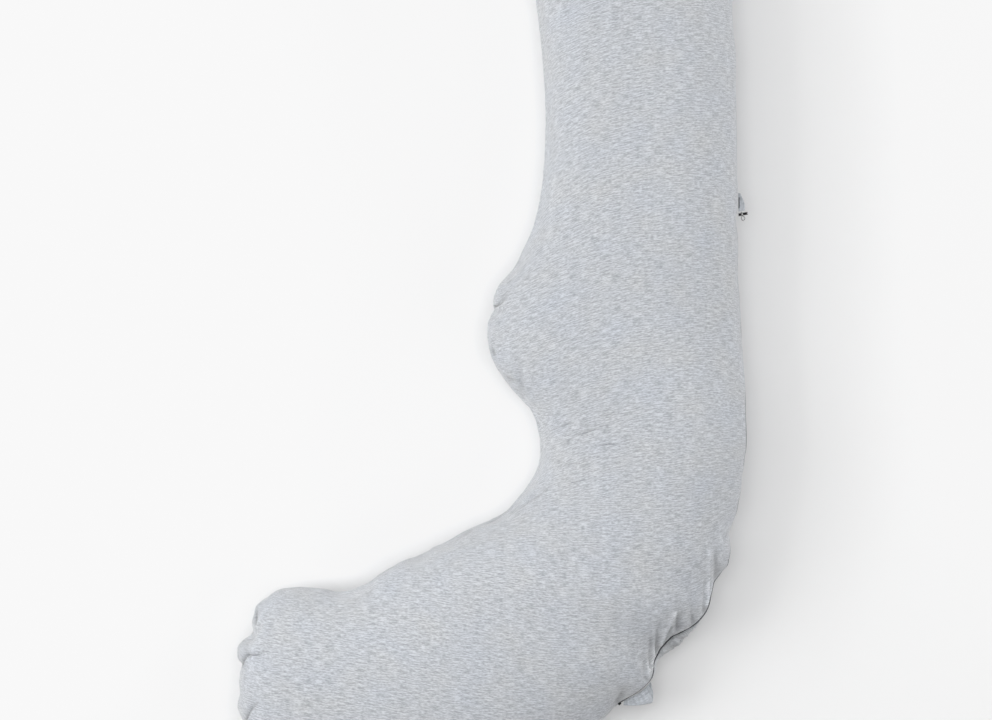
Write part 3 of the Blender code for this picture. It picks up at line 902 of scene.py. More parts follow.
def bulge_moves(grid):
    """The swelling of the lower panel beneath the gathers, sideways, and the painted shade in its pleats."""
    drop = np.maximum(SEAM_HEIGHT - grid[..., 2], 0) / BULGE_DROP
    outer_half = np.zeros(AROUND)
    outer_half[OVER_POINTS + UNDER_POINTS // 2 :] = 1
    pleats = seam_noise(outer_seam, BULGE_PLEAT, BULGE_SEED)
    swell = drop * np.exp(1 - drop) * outer_half
    size = BULGE_OUT * (gathered(BULGE_LENGTH) * (1 + PLEAT_OUT * pleats))[:, None] * swell
    sides = np.array([side for _, side in frames])
    shade = BULGE_SHADE * (gathered(BULGE_LENGTH) * (1 - PLEAT_SHADE * pleats))[:, None] * swell
    return size[..., None] * sides[:, None], shade


bulge, bulge_shade = bulge_moves(rings)
print("bulge up to", round(float(np.linalg.norm(bulge, axis=2).max() / MM), 1), "mm")

# %% Swell the stuffing and move the cloth
LUMP_HEIGHT = 0.6 * MM
LUMP_LENGTH = 90 * MM
LUMP_SEED = 5


def lump_moves(grid):
    """Slow swells of the stuffing."""
    wave = noise_at([tuple(row) for row in grid.reshape(-1, 3)], LUMP_LENGTH, LUMP_SEED)
    return wave.reshape(grid.shape[:2]) * LUMP_HEIGHT


rings = rings + normals * (sewn_moves + lump_moves(rings))[..., None] + bulge
# The painted shade of the seams' valleys and of the bulge's pleats joins the folds' own.
crease_shade += bulge_shade + seam_shade(rings)
print("seams drawn in")

# %% How much of the zip shows
CHAIN_OUT = -0.3 * MM  # the middle of the zip's chain lies this far outside the seam
CHAIN_HALF = 0.85 * MM  # half the chain's depth
# How much of the chain the upper panel leaves in sight from above, at places along the pillow, both in mm.
# Where it is less than nothing the cloth hangs over the chain.
SIGHT_PLACES = (
    60, 30, 18, -96, -114, -133, -160, -193, -239, -267, -274, -299, -306, -320, -336, -362, -375,
)
SIGHT = (-0.3, -0.3, 0.0, -0.2, 0.5, -0.3, -0.3, 0.4, 0.6, 0.5, 0.0, -0.3, 0.4, 0.6, -0.2, 0.2, 0.6)
LOWER_SIGHT_PLACES = (-400, -412, -430, -442, -455, -470, -485, -500, -512, -520, -535, -546, -552)
LOWER_SIGHT = (0.9, 0.7, 1.2, 2.0, 2.1, 1.9, 1.6, 1.1, 1.1, 1.3, 1.7, 1.7, -0.2)
UNDER_ROOM = 30 * MM  # how far the lower panel may show beneath the gathers

places = np.array(SIGHT_PLACES + LOWER_SIGHT_PLACES)
sight = np.interp(-outer_seam[:, 1] / MM, -places, SIGHT + LOWER_SIGHT) * MM
most_out = np.full(rings.shape[:2], CHAIN_OUT + CHAIN_HALF)
most_out[:, : OVER_POINTS // 2] -= sight[:, None]
most_out[:, OVER_POINTS + UNDER_POINTS // 2 :] += UNDER_ROOM * gathered(BULGE_LENGTH)[:, None]
print("the zip shows by", round(sight.max() / MM, 1), "mm at most")

# %% Tuck the cloth in behind the zip
def seen_out(grid, seam, sides):
    """How far every point lies outside a seam, seen from above."""
    return np.einsum("rpc,rc->rp", seen_flat(grid) - seam[:, None], sides)


def brought_up(grid, most):
    """Moves the upper panel's edge out to where it may end, so that its puckers don't bare the zip."""
    sides = np.array([side for _, side in frames])
    edge = seen_out(grid[:, : OVER_POINTS // 2], outer_seam, sides).max(axis=1)
    missing = np.maximum(most[:, 0] - edge, 0)
    share = eased(np.clip(1 - seam_distance(grid) / SEAM_HOLD, 0, 1))
    share[:, OVER_POINTS // 2 :] = 0
    return grid + (share * missing[:, None])[..., None] * sides[:, None]


def kept_behind(grid, seam, way, most):
    """Draws back whatever hangs out past a seam by more than it may, seen from above."""
    sides = np.array([side for _, side in frames]) * way
    out = seen_out(grid, seam, sides)
    return grid - np.maximum(out - most, 0)[..., None] * sides[:, None]


rings = brought_up(rings, most_out)
outer_side = np.ones(AROUND, dtype=bool)
outer_side[OVER_POINTS // 2 : OVER_POINTS + UNDER_POINTS // 2] = False
rings = np.where(
    outer_side[None, :, None],
    kept_behind(rings, outer_seam, 1, most_out),
    kept_behind(rings, inner_seam, -1, CHAIN_OUT + CHAIN_HALF),
)
rings[..., 2] = np.maximum(rings[..., 2], 0.0)
heights = rings[..., 2] / MM
print("lowest point", round(heights.min(), 2), "mm, highest", round(heights.max(), 1), "mm")

# %% [markdown]
# ## The stuffed cover, step 5: sew it together
# The rings become one closed mesh of four-sided faces, with a fan at each tip. Every face corner also
# learns where it lies on the flat cloth that its panel was cut from. Seen from above the cut cloth and the
# pillow agree, but over the sides the cloth runs on downwards, so its place is moved out by the slack,
# which is how much longer the way over the cloth is than it looks from above. A step down of one millimetre
# adds one where the wall is upright and next to nothing on the crown. Without that the knit would be
# stretched into streaks down the sides.

# %% The slope of the knit's rows
# How steeply the knit's rows climb to the right, at places across the trunk in mm, and along the leg.
TRUNK_PLACES = (-60, 93, 168, 237, 300)
TRUNK_CLIMB = (0.34, 0.34, 0.14, 0.02, -0.08)
LEG_PLACES = (40, 150, 230)
LEG_CLIMB = (-0.13, -0.02, 0.15)
LEG_START = 170  # mm across, where the leg's rows meet the trunk's
BEND_TOP, BEND_FOOT = -220, -390  # mm along, between them the one turns into the other
ROWS_BEYOND = 300  # mm that the rows are followed past the table's places


def row_height(across, along):
    """How far the knit's row that crosses a place has climbed there, in mm."""
    places = np.arange(TRUNK_PLACES[0] - ROWS_BEYOND, TRUNK_PLACES[-1] + ROWS_BEYOND + 1)
    climbs = []
    for known, climb in ((TRUNK_PLACES, TRUNK_CLIMB), (LEG_PLACES, LEG_CLIMB)):
        climbed = np.cumsum(np.interp(places, known, climb))
        climbs.append(np.interp(across, places, climbed) - np.interp(LEG_START, places, climbed))
    trunk, leg = climbs
    share = eased(np.clip((along - BEND_TOP) / (BEND_FOOT - BEND_TOP), 0, 1))
    return trunk * (1 - share) + leg * share


print("a row crossing the trunk climbs", round(float(row_height(270, 0) - row_height(60, 0)), 1), "mm")

# %% Places on the flat cloth
UNDER_SHIFT = 3.7  # the lower panel comes from another place on the roll
smooth_normals = ring_normals(smooth_rings)


def slack_from(start, height, slant):
    """The slack summed up along rows of points, from a starting column."""
    steps = np.abs(np.diff(height, axis=1)) * (slant[:, 1:] + slant[:, :-1]) / 2
    summed = np.pad(np.cumsum(steps, axis=1), ((0, 0), (1, 0)))
    return np.abs(summed - summed[:, start : start + 1])


def cloth_slack(middle):
    """The slack from the middle of a panel to every point, round the rings and down the two tips."""
    slant = np.tan(np.arccos(np.clip(np.abs(smooth_normals[..., 2]), 0, 1)) / 2)
    height = smooth_rings[..., 2]
    closed = slack_from(middle, np.hstack([height, height[:, :1]]), np.hstack([slant, slant[:, :1]]))
    if middle > OVER_POINTS:
        closed[:, 0] = closed[:, -1]
    tips = slack_from(RING_COUNT // 2, height[None, :, middle], slant[None, :, middle])[0]
    return closed[:, :-1] + tips[:, None]


def cloth_places(middle, shift):
    """Where each point and the two tips lie on the panel's flat cloth, in metres."""
    place = rings[..., :2] + unit(smooth_normals[..., :2]) * cloth_slack(middle)[..., None]
    climb = row_height(place[..., 0] / MM, place[..., 1] / MM) * MM
    flat = np.stack([place[..., 0], place[..., 1] - climb], axis=-1) + shift
    return np.vstack([flat.reshape(-1, 2), flat[0, middle], flat[-1, middle]])


over_places = cloth_places(OVER_POINTS // 2, 0.0)
under_places = cloth_places(OVER_POINTS + UNDER_POINTS // 2, UNDER_SHIFT)
print("slack at the outer seam: up to", round(cloth_slack(OVER_POINTS // 2)[:, 0].max() / MM), "mm")

# %% Sew the cover together
CREASE_LAYER = "crease_shade"  # where the cover keeps its painted shade in creases, pleats and seam valleys, and painted highlight on ridges


def band_faces(ring_count, around, inside_out=False, closed=False):
    """Four-sided faces between each ring of points and the next."""
    faces = []
    for ring in range(ring_count if closed else ring_count - 1):
        low, high = ring * around, (ring + 1) % ring_count * around
        for at in range(around):
            turn = (at + 1) % around
            if inside_out:
                faces.append((low + at, high + at, high + turn, low + turn))
            else:
                faces.append((low + at, low + turn, high + turn, high + at))
    return faces


def cover_faces():
    """The faces of the cover with a fan at each tip, and which of them belong to the upper panel."""
    faces = band_faces(RING_COUNT, AROUND)
    uppers = [at < OVER_POINTS for at in range(AROUND)] * (RING_COUNT - 1)
    head, last = RING_COUNT * AROUND, (RING_COUNT - 1) * AROUND
    for at in range(AROUND):
        turn = (at + 1) % AROUND
        faces += [(head, turn, at), (head + 1, last + at, last + turn)]
        uppers += [at < OVER_POINTS] * 2
    return faces, uppers


def sewn_cover():
    """The closed mesh of the cover, with its cloth coordinates and its shade."""
    faces, uppers = cover_faces()
    points = np.concatenate([rings.reshape(-1, 3), [head_tip], [foot_tip]])
    cover = mesh_object("pillow_cover", points.tolist(), faces)
    vertex_of = np.empty(len(cover.data.loops), dtype=np.int32)
    cover.data.loops.foreach_get("vertex_index", vertex_of)
    is_upper = np.repeat(np.array(uppers), [len(face) for face in faces])
    corners = np.where(is_upper[:, None], over_places[vertex_of], under_places[vertex_of])
    layer = cover.data.uv_layers.new(name=UV_LAYER)
    layer.data.foreach_set("uv", corners.astype(np.float32).ravel())
    shade = cover.data.attributes.new(name=CREASE_LAYER, type="FLOAT", domain="POINT")
    shade.data.foreach_set("value", np.append(crease_shade.ravel(), [0.0, 0.0]).astype(np.float32))
    return cover


cover = sewn_cover()
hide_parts("pillow")
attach(cover, "root")
print("cover:", len(cover.data.polygons), "faces")

# %% [markdown]
# ## The heather
# Heather yarn is spun from pale and dark fibres that never mix quite evenly, so each row of knitting shows
# short flecks that run along it. An image could hold them. Noise that is stretched along the rows never
# repeats, and its length and height are plain sizes in metres. Two noises are added: long soft streaks and
# short fine flecks. A third, very slow one gives the faint cloudy tint that washing leaves.

# %% Node group: heather flecks
CLOUD_SIZE = (50 * MM, 40 * MM)


def stretched_noise(tree, place, length, height, detail):
    """Noise whose cells are length long and height high."""
    split = add_node(tree, "ShaderNodeSeparateXYZ", {0: place}).outputs
    across = maths(tree, "DIVIDE", split[0], length)
    along = maths(tree, "DIVIDE", split[1], height)
    where = add_node(tree, "ShaderNodeCombineXYZ", {0: across, 1: along}).outputs[0]
    inputs = {"Vector": where, "Scale": 1.0, "Detail": detail, "Roughness": 0.55}
    return add_node(tree, "ShaderNodeTexNoise", inputs, noise_dimensions="2D").outputs[0]


def heather_group():
    """Flecks and cloudy tint, both from 0 to 1 and 0.5 on average."""
    sizes = [("Streak Length", "Float"), ("Streak Height", "Float"), ("Fleck Length", "Float")]
    sizes += [("Fleck Height", "Float"), ("Contrast", "Float")]
    tree, given, wanted = shader_group(
        "heather_flecks", [("Cloth", "Vector"), *sizes], [("Fleck", "Float"), ("Cloud", "Float")]
    )
    streak = stretched_noise(tree, given["Cloth"], given["Streak Length"], given["Streak Height"], 1.0)
    fleck = stretched_noise(tree, given["Cloth"], given["Fleck Length"], given["Fleck Height"], 2.0)
    both = maths(tree, "ADD", maths(tree, "SUBTRACT", streak, 0.5), maths(tree, "SUBTRACT", fleck, 0.5))
    tone = maths(tree, "MULTIPLY_ADD", both, given["Contrast"], 0.5)
    feed(tree, wanted["Fleck"], add_node(tree, "ShaderNodeClamp", {0: tone}).outputs[0])
    feed(tree, wanted["Cloud"], stretched_noise(tree, given["Cloth"], *CLOUD_SIZE, 1.0))
    return tree


heather = heather_group()
print("heather group:", len(heather.nodes), "nodes")

# %% [markdown]
# ## The knit
# Jersey shows columns of small V's, one for each stitch, and each V's two arms are bits of the same yarn.
# It could be modelled stitch by stitch, but a pillow has a million of them. A height field for a Bump node
# is enough: it rises along slanting arms, and falls in the gaps between stitches and between rows.

# %% Node group: knit relief
def knit_group():
    """The height of plain knitting, from 0 in the gaps to 1 on the yarn."""
    inputs = [("Cloth", "Vector"), ("Stitch Width", "Float"), ("Row Height", "Float")]
    tree, given, wanted = shader_group("knit_relief", inputs, [("Height", "Float")])
    split = add_node(tree, "ShaderNodeSeparateXYZ", {0: given["Cloth"]}).outputs
    stitch = maths(tree, "FRACT", maths(tree, "DIVIDE", split[0], given["Stitch Width"]))
    beside = maths(tree, "ABSOLUTE", maths(tree, "SUBTRACT", stitch, 0.5))
    row = maths(tree, "ADD", maths(tree, "DIVIDE", split[1], given["Row Height"]), beside)
    arm = maths(tree, "SINE", maths(tree, "MULTIPLY", beside, 2 * math.pi))
    turn = maths(tree, "SINE", maths(tree, "MULTIPLY", row, 2 * math.pi))
    yarn = maths(tree, "MULTIPLY_ADD", turn, 0.5, 0.5)
    feed(tree, wanted["Height"], maths(tree, "MULTIPLY", arm, yarn))
    return tree


knit = knit_group()
print("knit group:", len(knit.nodes), "nodes")

# %% [markdown]
# ## Hairline creases
# Across the bend the cloth is pushed together, and besides the soft folds of the mesh it has creases as
# fine as a pencil line. The mesh could be cut finer there, at the cost of many thousand faces. A node group
# that measures the distance from a straight line draws them sharply instead: it is placed once for each
# crease, with the two ends of that crease, and its result both paints shade into the cloth and presses it
# in.

# %% Where the hairline creases run
# The ends are in mm as seen from above at the height of the seam, and height is how high the cloth lies
# there. dark is how dark the painted shade along the crease is.
Hairline = namedtuple("Hairline", "start end height dark")
HAIRLINES = (
    # across the bend
    Hairline((63.3, -229.0), (95.4, -217.6), 135, 0.22),
    Hairline((76.1, -246.6), (95.5, -234.2), 140, 0.14),
    Hairline((88.0, -238.0), (127.5, -222.1), 148, 0.30),
    Hairline((120.0, -213.3), (143.5, -206.6), 152, 0.20),
    Hairline((118.5, -245.3), (143.0, -243.8), 152, 0.34),
    Hairline((77.0, -268.0), (105.5, -265.8), 145, 0.22),
    Hairline((84.0, -290.6), (107.5, -284.0), 145, 0.20),
    # beside the foot's tuck
    Hairline((-285.5, -487.0), (-264.0, -484.0), 108, 0.36),
)


def lifted(point, height):
    """Where a place seen at the height of the seam lies at its real height, in metres and levelled."""
    seen = Vector((point[0], point[1], SEAM_HEIGHT / MM)) * MM
    share = (CAMERA_PLACE.z - height * MM) / (CAMERA_PLACE.z - SEAM_HEIGHT)
    place = CAMERA_PLACE + (seen - CAMERA_PLACE) * share
    return Vector((place.x, place.y, 0.0))


print(len(HAIRLINES), "hairline creases")

# %% Node group: hairline crease
def hairline_group():
    """The painted shade of a crease between two places, from 0 to its Dark value."""
    inputs = [(name, "Vector") for name in ("Place", "Start", "End")]
    inputs += [(name, "Float") for name in ("Width", "Dark")]
    tree, given, wanted = shader_group("hairline_crease", inputs, [("Shade", "Float")])
    run = vector_maths(tree, "SUBTRACT", given["End"], given["Start"])
    offset = vector_maths(tree, "SUBTRACT", given["Place"], given["Start"])
    covered = vector_maths(tree, "DOT_PRODUCT", offset, run, out=1)
    whole = vector_maths(tree, "DOT_PRODUCT", run, run, out=1)
    share = add_node(tree, "ShaderNodeClamp", {0: maths(tree, "DIVIDE", covered, whole)}).outputs[0]
    reached = add_node(tree, "ShaderNodeVectorMath", {0: run, "Scale": share}, operation="SCALE").outputs[0]
    beside = vector_maths(tree, "SUBTRACT", offset, reached)
    away = maths(tree, "DIVIDE", vector_maths(tree, "LENGTH", beside, out=1), given["Width"])
    line = maths(tree, "EXPONENT", maths(tree, "MULTIPLY", maths(tree, "MULTIPLY", away, away), -1.0))
    taper = maths(tree, "SINE", maths(tree, "MULTIPLY", share, math.pi))
    feed(tree, wanted["Shade"], maths(tree, "MULTIPLY", maths(tree, "MULTIPLY", line, taper), given["Dark"]))
    return tree


hairline = hairline_group()
print("hairline group:", len(hairline.nodes), "nodes")

# %% All the hairlines together
HAIRLINE_WIDTH = 1.0 * MM
WOBBLE = 1.6 * MM  # how crooked they are
WOBBLE_LENGTH = 14 * MM


def hairlines_shade(tree):
    """The painted shade of all the creases together, on the upper panel alone and a little crooked."""
    place = add_node(tree, "ShaderNodeTexCoord").outputs["Object"]
    split = add_node(tree, "ShaderNodeSeparateXYZ", {0: place}).outputs
    upper = maths(tree, "GREATER_THAN", split[2], SEAM_HEIGHT)
    inputs = {"Vector": place, "Scale": 1 / WOBBLE_LENGTH, "Detail": 1.0}
    wobble = add_node(tree, "ShaderNodeTexNoise", inputs).outputs[1]
    crooked = vector_maths(tree, "MULTIPLY_ADD", wobble, (WOBBLE, WOBBLE, 0), place)
    centred = vector_maths(tree, "SUBTRACT", crooked, (WOBBLE / 2, WOBBLE / 2, 0))
    level = vector_maths(tree, "MULTIPLY", centred, (1, 1, 0))
    total = None
    for row in HAIRLINES:
        ends = {"Start": lifted(row.start, row.height), "End": lifted(row.end, row.height)}
        made = placed_group(tree, hairline, Place=level, Width=HAIRLINE_WIDTH, Dark=row.dark, **ends)
        total = made.outputs[0] if total is None else maths(tree, "MAXIMUM", total, made.outputs[0])
    return maths(tree, "MULTIPLY", total, upper)


print("hairlines", WOBBLE / MM, "mm crooked")

# %% [markdown]
# ## The jersey
# The cover's finish joins the three groups. The flecks blend a dark fibre with a pale one, and the slow
# cloud turns the blend a little bluer or warmer. Painted shade darkens the gaps between stitches, the
# hairlines and the creases, pleats and seam valleys that the mesh marked, and painted highlight brightens
# the ridges it marked. The cloth is matt, with a short nap that catches light at grazing angles, which is
# what Sheen is for. The flaps are the same cloth folded double, so the same function makes both, each with
# its own sizes and colours and the flaps without the hairlines.

# %% Material: heather jersey
HAIRLINE_DEPTH = 3.0  # as a share of the knit's own relief
Jersey = namedtuple("Jersey", "dark pale streak fleck contrast stitch bump")
COVER_JERSEY = Jersey(
    dark=(0.355, 0.371, 0.399, 1),
    pale=(0.630, 0.650, 0.680, 1),
    streak=(12 * MM, 1.3 * MM),
    fleck=(3.4 * MM, 0.95 * MM),
    contrast=1.9,
    stitch=(1.3 * MM, 1.15 * MM),
    bump=0.16 * MM,
)
BLUE_TINT = (0.975, 0.995, 1.03, 1)
WARM_TINT = (1.02, 1.005, 0.975, 1)
GAP_SHADE = 0.90  # how dark the painted shade in the gaps between stitches is


def jersey_material(name, recipe, creased=False):
    """Heather jersey from a recipe, with the hairline creases or without."""
    made, tree, shader = new_material(name, roughness=0.95, sheen=0.5)
    place = cloth_place(tree)
    flecks = placed_group(
        tree, heather, Cloth=place, Contrast=recipe.contrast,
        Streak_Length=recipe.streak[0], Streak_Height=recipe.streak[1],
        Fleck_Length=recipe.fleck[0], Fleck_Height=recipe.fleck[1],
    )
    stitch_width, row_height = recipe.stitch
    relief = placed_group(tree, knit, Cloth=place, Stitch_Width=stitch_width, Row_Height=row_height)
    fibre = mixed(tree, flecks.outputs["Fleck"], recipe.dark, recipe.pale)
    tint = mixed(tree, flecks.outputs["Cloud"], BLUE_TINT, WARM_TINT)
    tinted = add_node(
        tree, "ShaderNodeMix", {0: 1.0, 6: fibre, 7: tint}, data_type="RGBA", blend_type="MULTIPLY"
    )
    height = relief.outputs["Height"]
    # Painted shade in the gaps between stitches, where the knit's relief is low.
    shade = maths(tree, "MULTIPLY_ADD", height, 2 * (1 - GAP_SHADE), GAP_SHADE)
    # Painted shade of the creases, pleats and seam valleys, and painted highlight on the ridges, from the
    # cover's values.
    crease = add_node(tree, "ShaderNodeAttribute", attribute_name=CREASE_LAYER).outputs["Fac"]
    shade = maths(tree, "MULTIPLY", shade, maths(tree, "SUBTRACT", 1.0, crease))
    if creased:
        # Painted shade along the hairline creases, with a bump that presses them in.
        fine = hairlines_shade(tree)
        shade = maths(tree, "MULTIPLY", shade, maths(tree, "SUBTRACT", 1.0, fine))
        height = maths(tree, "SUBTRACT", height, maths(tree, "MULTIPLY", fine, HAIRLINE_DEPTH))
    inputs = {0: tinted.outputs[2], "Scale": shade}
    shaded = add_node(tree, "ShaderNodeVectorMath", inputs, operation="SCALE")
    feed(tree, shader.inputs["Base Color"], shaded.outputs[0])
    bump = add_node(tree, "ShaderNodeBump", {"Height": height, "Strength": 1.0, "Distance": recipe.bump})
    feed(tree, shader.inputs["Normal"], bump.outputs[0])
    return made


jersey = jersey_material("jersey", COVER_JERSEY, creased=True)
cover.data.materials.append(jersey)
print("jersey on the cover")

# %% [markdown]
# ## The zip
# The zip lies in the outer seam and is closed. A nylon zip is two helices of stiff wire whose turns
# interlock, each sewn to the edge of a woven tape. It could be a dark band, and from above it is hardly
# more. From the side its turns show, so both helices are modelled, each as one long wire, along the very
# row of points where the two panels meet. The tapes run on into the seam.

# %% The zip's path along the seam
ZIP_PITCH = 1.5 * MM
TURN_POINTS = 8
ZIP_SMOOTHING = 60  # passes


def seam_path(low, high, step):
    """Points every step along the outer seam, inside a node's box, and the level way outwards at each."""
    seam = outer_seam[(outer_seam[:, 1] < high[1]) & (outer_seam[:, 0] > low[0])]
    reach = reach_along(seam)
    at = np.arange(0, reach[-1], step)
    path = np.stack([np.interp(at, reach, seam[:, axis]) for axis in range(3)], axis=1)
    path = relaxed(path, ZIP_SMOOTHING)
    ahead = unit(np.gradient(path, axis=0))
    return path, unit(np.stack([-ahead[:, 1], ahead[:, 0], np.zeros(len(ahead))], axis=1))


zip_path, zip_out = seam_path(*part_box("zip"), ZIP_PITCH / TURN_POINTS)
zip_path = zip_path + zip_out * CHAIN_OUT
zip_path[:, 2] = SEAM_HEIGHT
print("zip:", round(len(zip_path) * ZIP_PITCH / TURN_POINTS / MM), "mm long")

# %% Helpers for tubes
def capped_bands(ring_count, around):
    """The faces of a tube through rings of points, with both its ends closed."""
    last = (ring_count - 1) * around
    ends = [tuple(range(around)), tuple(range(last + around - 1, last - 1, -1))]
    return band_faces(ring_count, around, inside_out=True) + ends


def tube_mesh(points, radius, sides, closed=False):
    """The points and faces of a tube along a run of points."""
    points = np.array(points)
    if closed:
        ahead = unit(np.roll(points, -1, axis=0) - np.roll(points, 1, axis=0))
        faces = band_faces(len(points), sides, inside_out=True, closed=True)
    else:
        ahead = unit(np.gradient(points, axis=0))
        faces = capped_bands(len(points), sides)
    across = unit(np.cross(ahead, UP))
    above = np.cross(across, ahead)
    angles = 2 * math.pi * np.arange(sides) / sides
    circle = across[:, None] * np.cos(angles)[:, None] + above[:, None] * np.sin(angles)[:, None]
    return (points[:, None] + circle * radius).reshape(-1, 3), faces


def merged(parts):
    """Joins several lists of points and faces into one."""
    points, faces = [], []
    for part_points, part_faces in parts:
        faces += [tuple(index + len(points) for index in face) for face in part_faces]
        points += [tuple(row) for row in part_points]
    return points, faces


print("tube helpers ready")

# %% The two helices of the chain
COIL_RISE = 0.95 * MM  # each helix's middle lies this far above or below the seam
COIL_UP = 1.05 * MM  # the radii of one turn
COIL_OUT = 0.55 * MM
COIL_WIRE = 0.3 * MM
WIRE_SIDES = 5


def helix(side):
    """One half of the chain: side is 1 for the upper helix, -1 for the lower."""
    turn = 2 * math.pi * (np.arange(len(zip_path)) / TURN_POINTS + (0 if side > 0 else 0.5))
    up = side * (COIL_RISE - COIL_UP * np.cos(turn))
    out = COIL_OUT * np.sin(turn)
    points = zip_path + zip_out * out[:, None] + np.outer(up, UP)
    return tube_mesh(points, COIL_WIRE, WIRE_SIDES)


chain = mesh_object("zip_chain", *merged([helix(1), helix(-1)]))
print("chain:", len(chain.data.polygons), "faces")

# %% The tapes
TAPE_BACK = 0.5 * MM  # the tape lies this far behind the chain's middle
TAPE_THICK = 0.5 * MM
TAPE_EDGES = (1.3 * MM, 3.7 * MM)  # how far above or below the seam its two edges lie
TAPE_SLANT = 0.5  # how far back it runs for each step away from the seam
TAPE_END_SECTION = ((281.6, 69.0), (281.8, 74.6), (282.5, 74.6), (282.7, 69.0))  # across and up, in mm
TAPE_END_ALONG = (27.0, 31.0, 35.0, 39.5)


def tape(side):
    """One of the two tapes, a thin strip that runs from the chain into the seam."""
    path, out = zip_path[::TURN_POINTS], zip_out[::TURN_POINTS]
    rows = []
    for back, edge in ((0, 0), (0, 1), (1, 1), (1, 0)):
        behind = TAPE_BACK + TAPE_THICK * back + (TAPE_EDGES[1] - TAPE_EDGES[0]) * TAPE_SLANT * edge
        rows.append(path - out * behind + np.array(UP) * side * TAPE_EDGES[edge])
    faces = capped_bands(len(path), len(rows))
    if side > 0:
        faces = [face[::-1] for face in faces]
    return np.stack(rows, axis=1).reshape(-1, 3), faces


def tape_end():
    """The doubled end of the tapes, which stands in the slit between the cover and the upper flap."""
    points = [(across, along, up) for along in TAPE_END_ALONG for across, up in TAPE_END_SECTION]
    return np.array(points) * MM, capped_bands(len(TAPE_END_ALONG), len(TAPE_END_SECTION))


tapes = mesh_object("zip_tapes", *merged([tape(1), tape(-1), tape_end()]))
for piece in (chain, tapes):
    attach(piece, "root")
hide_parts("zip")
print("tapes:", len(tapes.data.polygons), "faces")

# %% [markdown]
# ## The slider, its loop and the stop
# The slider is die-cast and enamelled black: two shield-shaped plates and a wide post between them. A loop
# of bright wire is hooked over its upper edge. Plates could be bevelled boxes. An outline that is drawn
# once and lofted in a few steps gives the shield shape and its soft edges together. The stop is a small
# moulded block at the other end of the chain, with a groove round it.

# %% Outlines lofted into solids
PiecePlace = namedtuple("PiecePlace", "middle turn")


def middle_of(node):
    """The middle of a node's box."""
    low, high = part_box(node)
    return (Vector(low) + Vector(high)) / 2


def placed(rows, place):
    """Turns and moves points that are written in mm round a piece's own middle."""
    rows = np.asarray(rows, dtype=float) * MM
    cosine, sine = math.cos(place.turn), math.sin(place.turn)
    across = rows[:, 0] * cosine - rows[:, 1] * sine
    along = rows[:, 0] * sine + rows[:, 1] * cosine
    return np.stack([across, along, rows[:, 2]], axis=1) + np.array(place.middle)


def lofted(outline, layers):
    """A solid through copies of an outline: each layer is (how far in, how far back), in mm."""
    outline = np.array(outline, dtype=float)
    reach = np.linalg.norm(outline, axis=1, keepdims=True)
    points = []
    for inset, back in layers:
        flat = outline * (1 - inset / reach)
        points += [(across, back, up) for across, up in flat]
    return np.array(points), capped_bands(len(layers), len(outline))


def shield(width, height, narrow, steps=40):
    """A slider's outline in mm: full at the top, drawn in to a share of its width at the bottom."""
    found = []
    for number in range(steps):
        angle = 2 * math.pi * number / steps
        cosine, sine = math.cos(angle), math.sin(angle)
        across = math.copysign(abs(cosine) ** 0.5, cosine) * width / 2
        up = math.copysign(abs(sine) ** 0.6, sine) * height / 2
        low = (0.5 - up / height) ** 1.5
        found.append((across * (1 - (1 - narrow) * low), up))
    return found


print("outline helpers ready")

# %% Slider
SLIDER = PiecePlace(middle_of("zip_slider"), math.radians(10))
SLIDER_WIDTH, SLIDER_HEIGHT, SLIDER_DEEP = 12.0, 8.9, 2.9  # mm
PLATE_THICK = 1.0
PLATE_EDGE = 0.28
PLATE_NARROW = 0.62  # its lower end's share of the full width
POST_SIZE = (4.9, 3.9)
POST_STEPS = 32
SLIDER_SHARP = math.radians(38)  # an edge that turns more than this stays sharp


def plate_layers(start, thick):
    """The steps of one plate: a bevel, the flat side, and a bevel again."""
    edge = PLATE_EDGE
    return [(edge, start), (0, start + edge), (0, start + thick - edge), (edge, start + thick)]


def make_slider():
    """Two plates and the wide post between them."""
    outline = shield(SLIDER_WIDTH, SLIDER_HEIGHT, PLATE_NARROW)
    front, back = -SLIDER_DEEP / 2, SLIDER_DEEP / 2 - PLATE_THICK
    turns = np.linspace(0, 2 * math.pi, POST_STEPS, endpoint=False)
    post = [(math.cos(angle) * POST_SIZE[0], math.sin(angle) * POST_SIZE[1]) for angle in turns]
    parts = [
        lofted(outline, plate_layers(front, PLATE_THICK)),
        lofted(outline, plate_layers(back, PLATE_THICK)),
        lofted(post, [(0, front + PLATE_THICK / 2), (0, back + PLATE_THICK / 2)]),
    ]
    parts = [(placed(points, SLIDER), faces) for points, faces in parts]
    slider = mesh_object("slider_body", *merged(parts))
    slider.data.set_sharp_from_angle(angle=SLIDER_SHARP)
    return slider


slider = make_slider()
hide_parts("zip_slider")
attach(slider, "root")
print("slider at", [round(value / MM, 1) for value in SLIDER.middle], "mm")

# %% Wire loop
LOOP_WIRE = 0.45  # mm, half the wire's thickness
LOOP_SIDES = 12
LOOP_STEPS = 5  # points between two places of the table
# The loop's bends, in mm from the slider's middle: across, to the back and up.
LOOP_BENDS = (
    (-1.75, 2.1, 3.6), (-1.65, 0.0, 5.0), (-1.75, -2.1, 4.2), (-2.5, -3.9, 2.6), (-2.3, -6.0, 0.6),
    (-0.8, -7.3, -0.7), (0.9, -6.5, 0.1), (1.4, -4.8, 1.8), (0.5, -3.2, 3.3), (-0.6, -2.1, 4.2),
    (-0.75, 0.0, 5.0), (-0.85, 2.1, 3.6), (-1.3, 2.5, 2.9),
)


def rounded_ring(bends, steps):
    """A smooth closed curve through a ring of places."""
    bends = np.array(bends, dtype=float)
    before, after, beyond = np.roll(bends, 1, axis=0), np.roll(bends, -1, axis=0), np.roll(bends, -2, axis=0)
    share = (np.arange(steps) / steps)[None, :, None]
    leave, arrive = (after - before)[:, None] / 2, (beyond - bends)[:, None] / 2
    return curve_between(bends[:, None], after[:, None], leave, arrive, share).reshape(-1, 3)


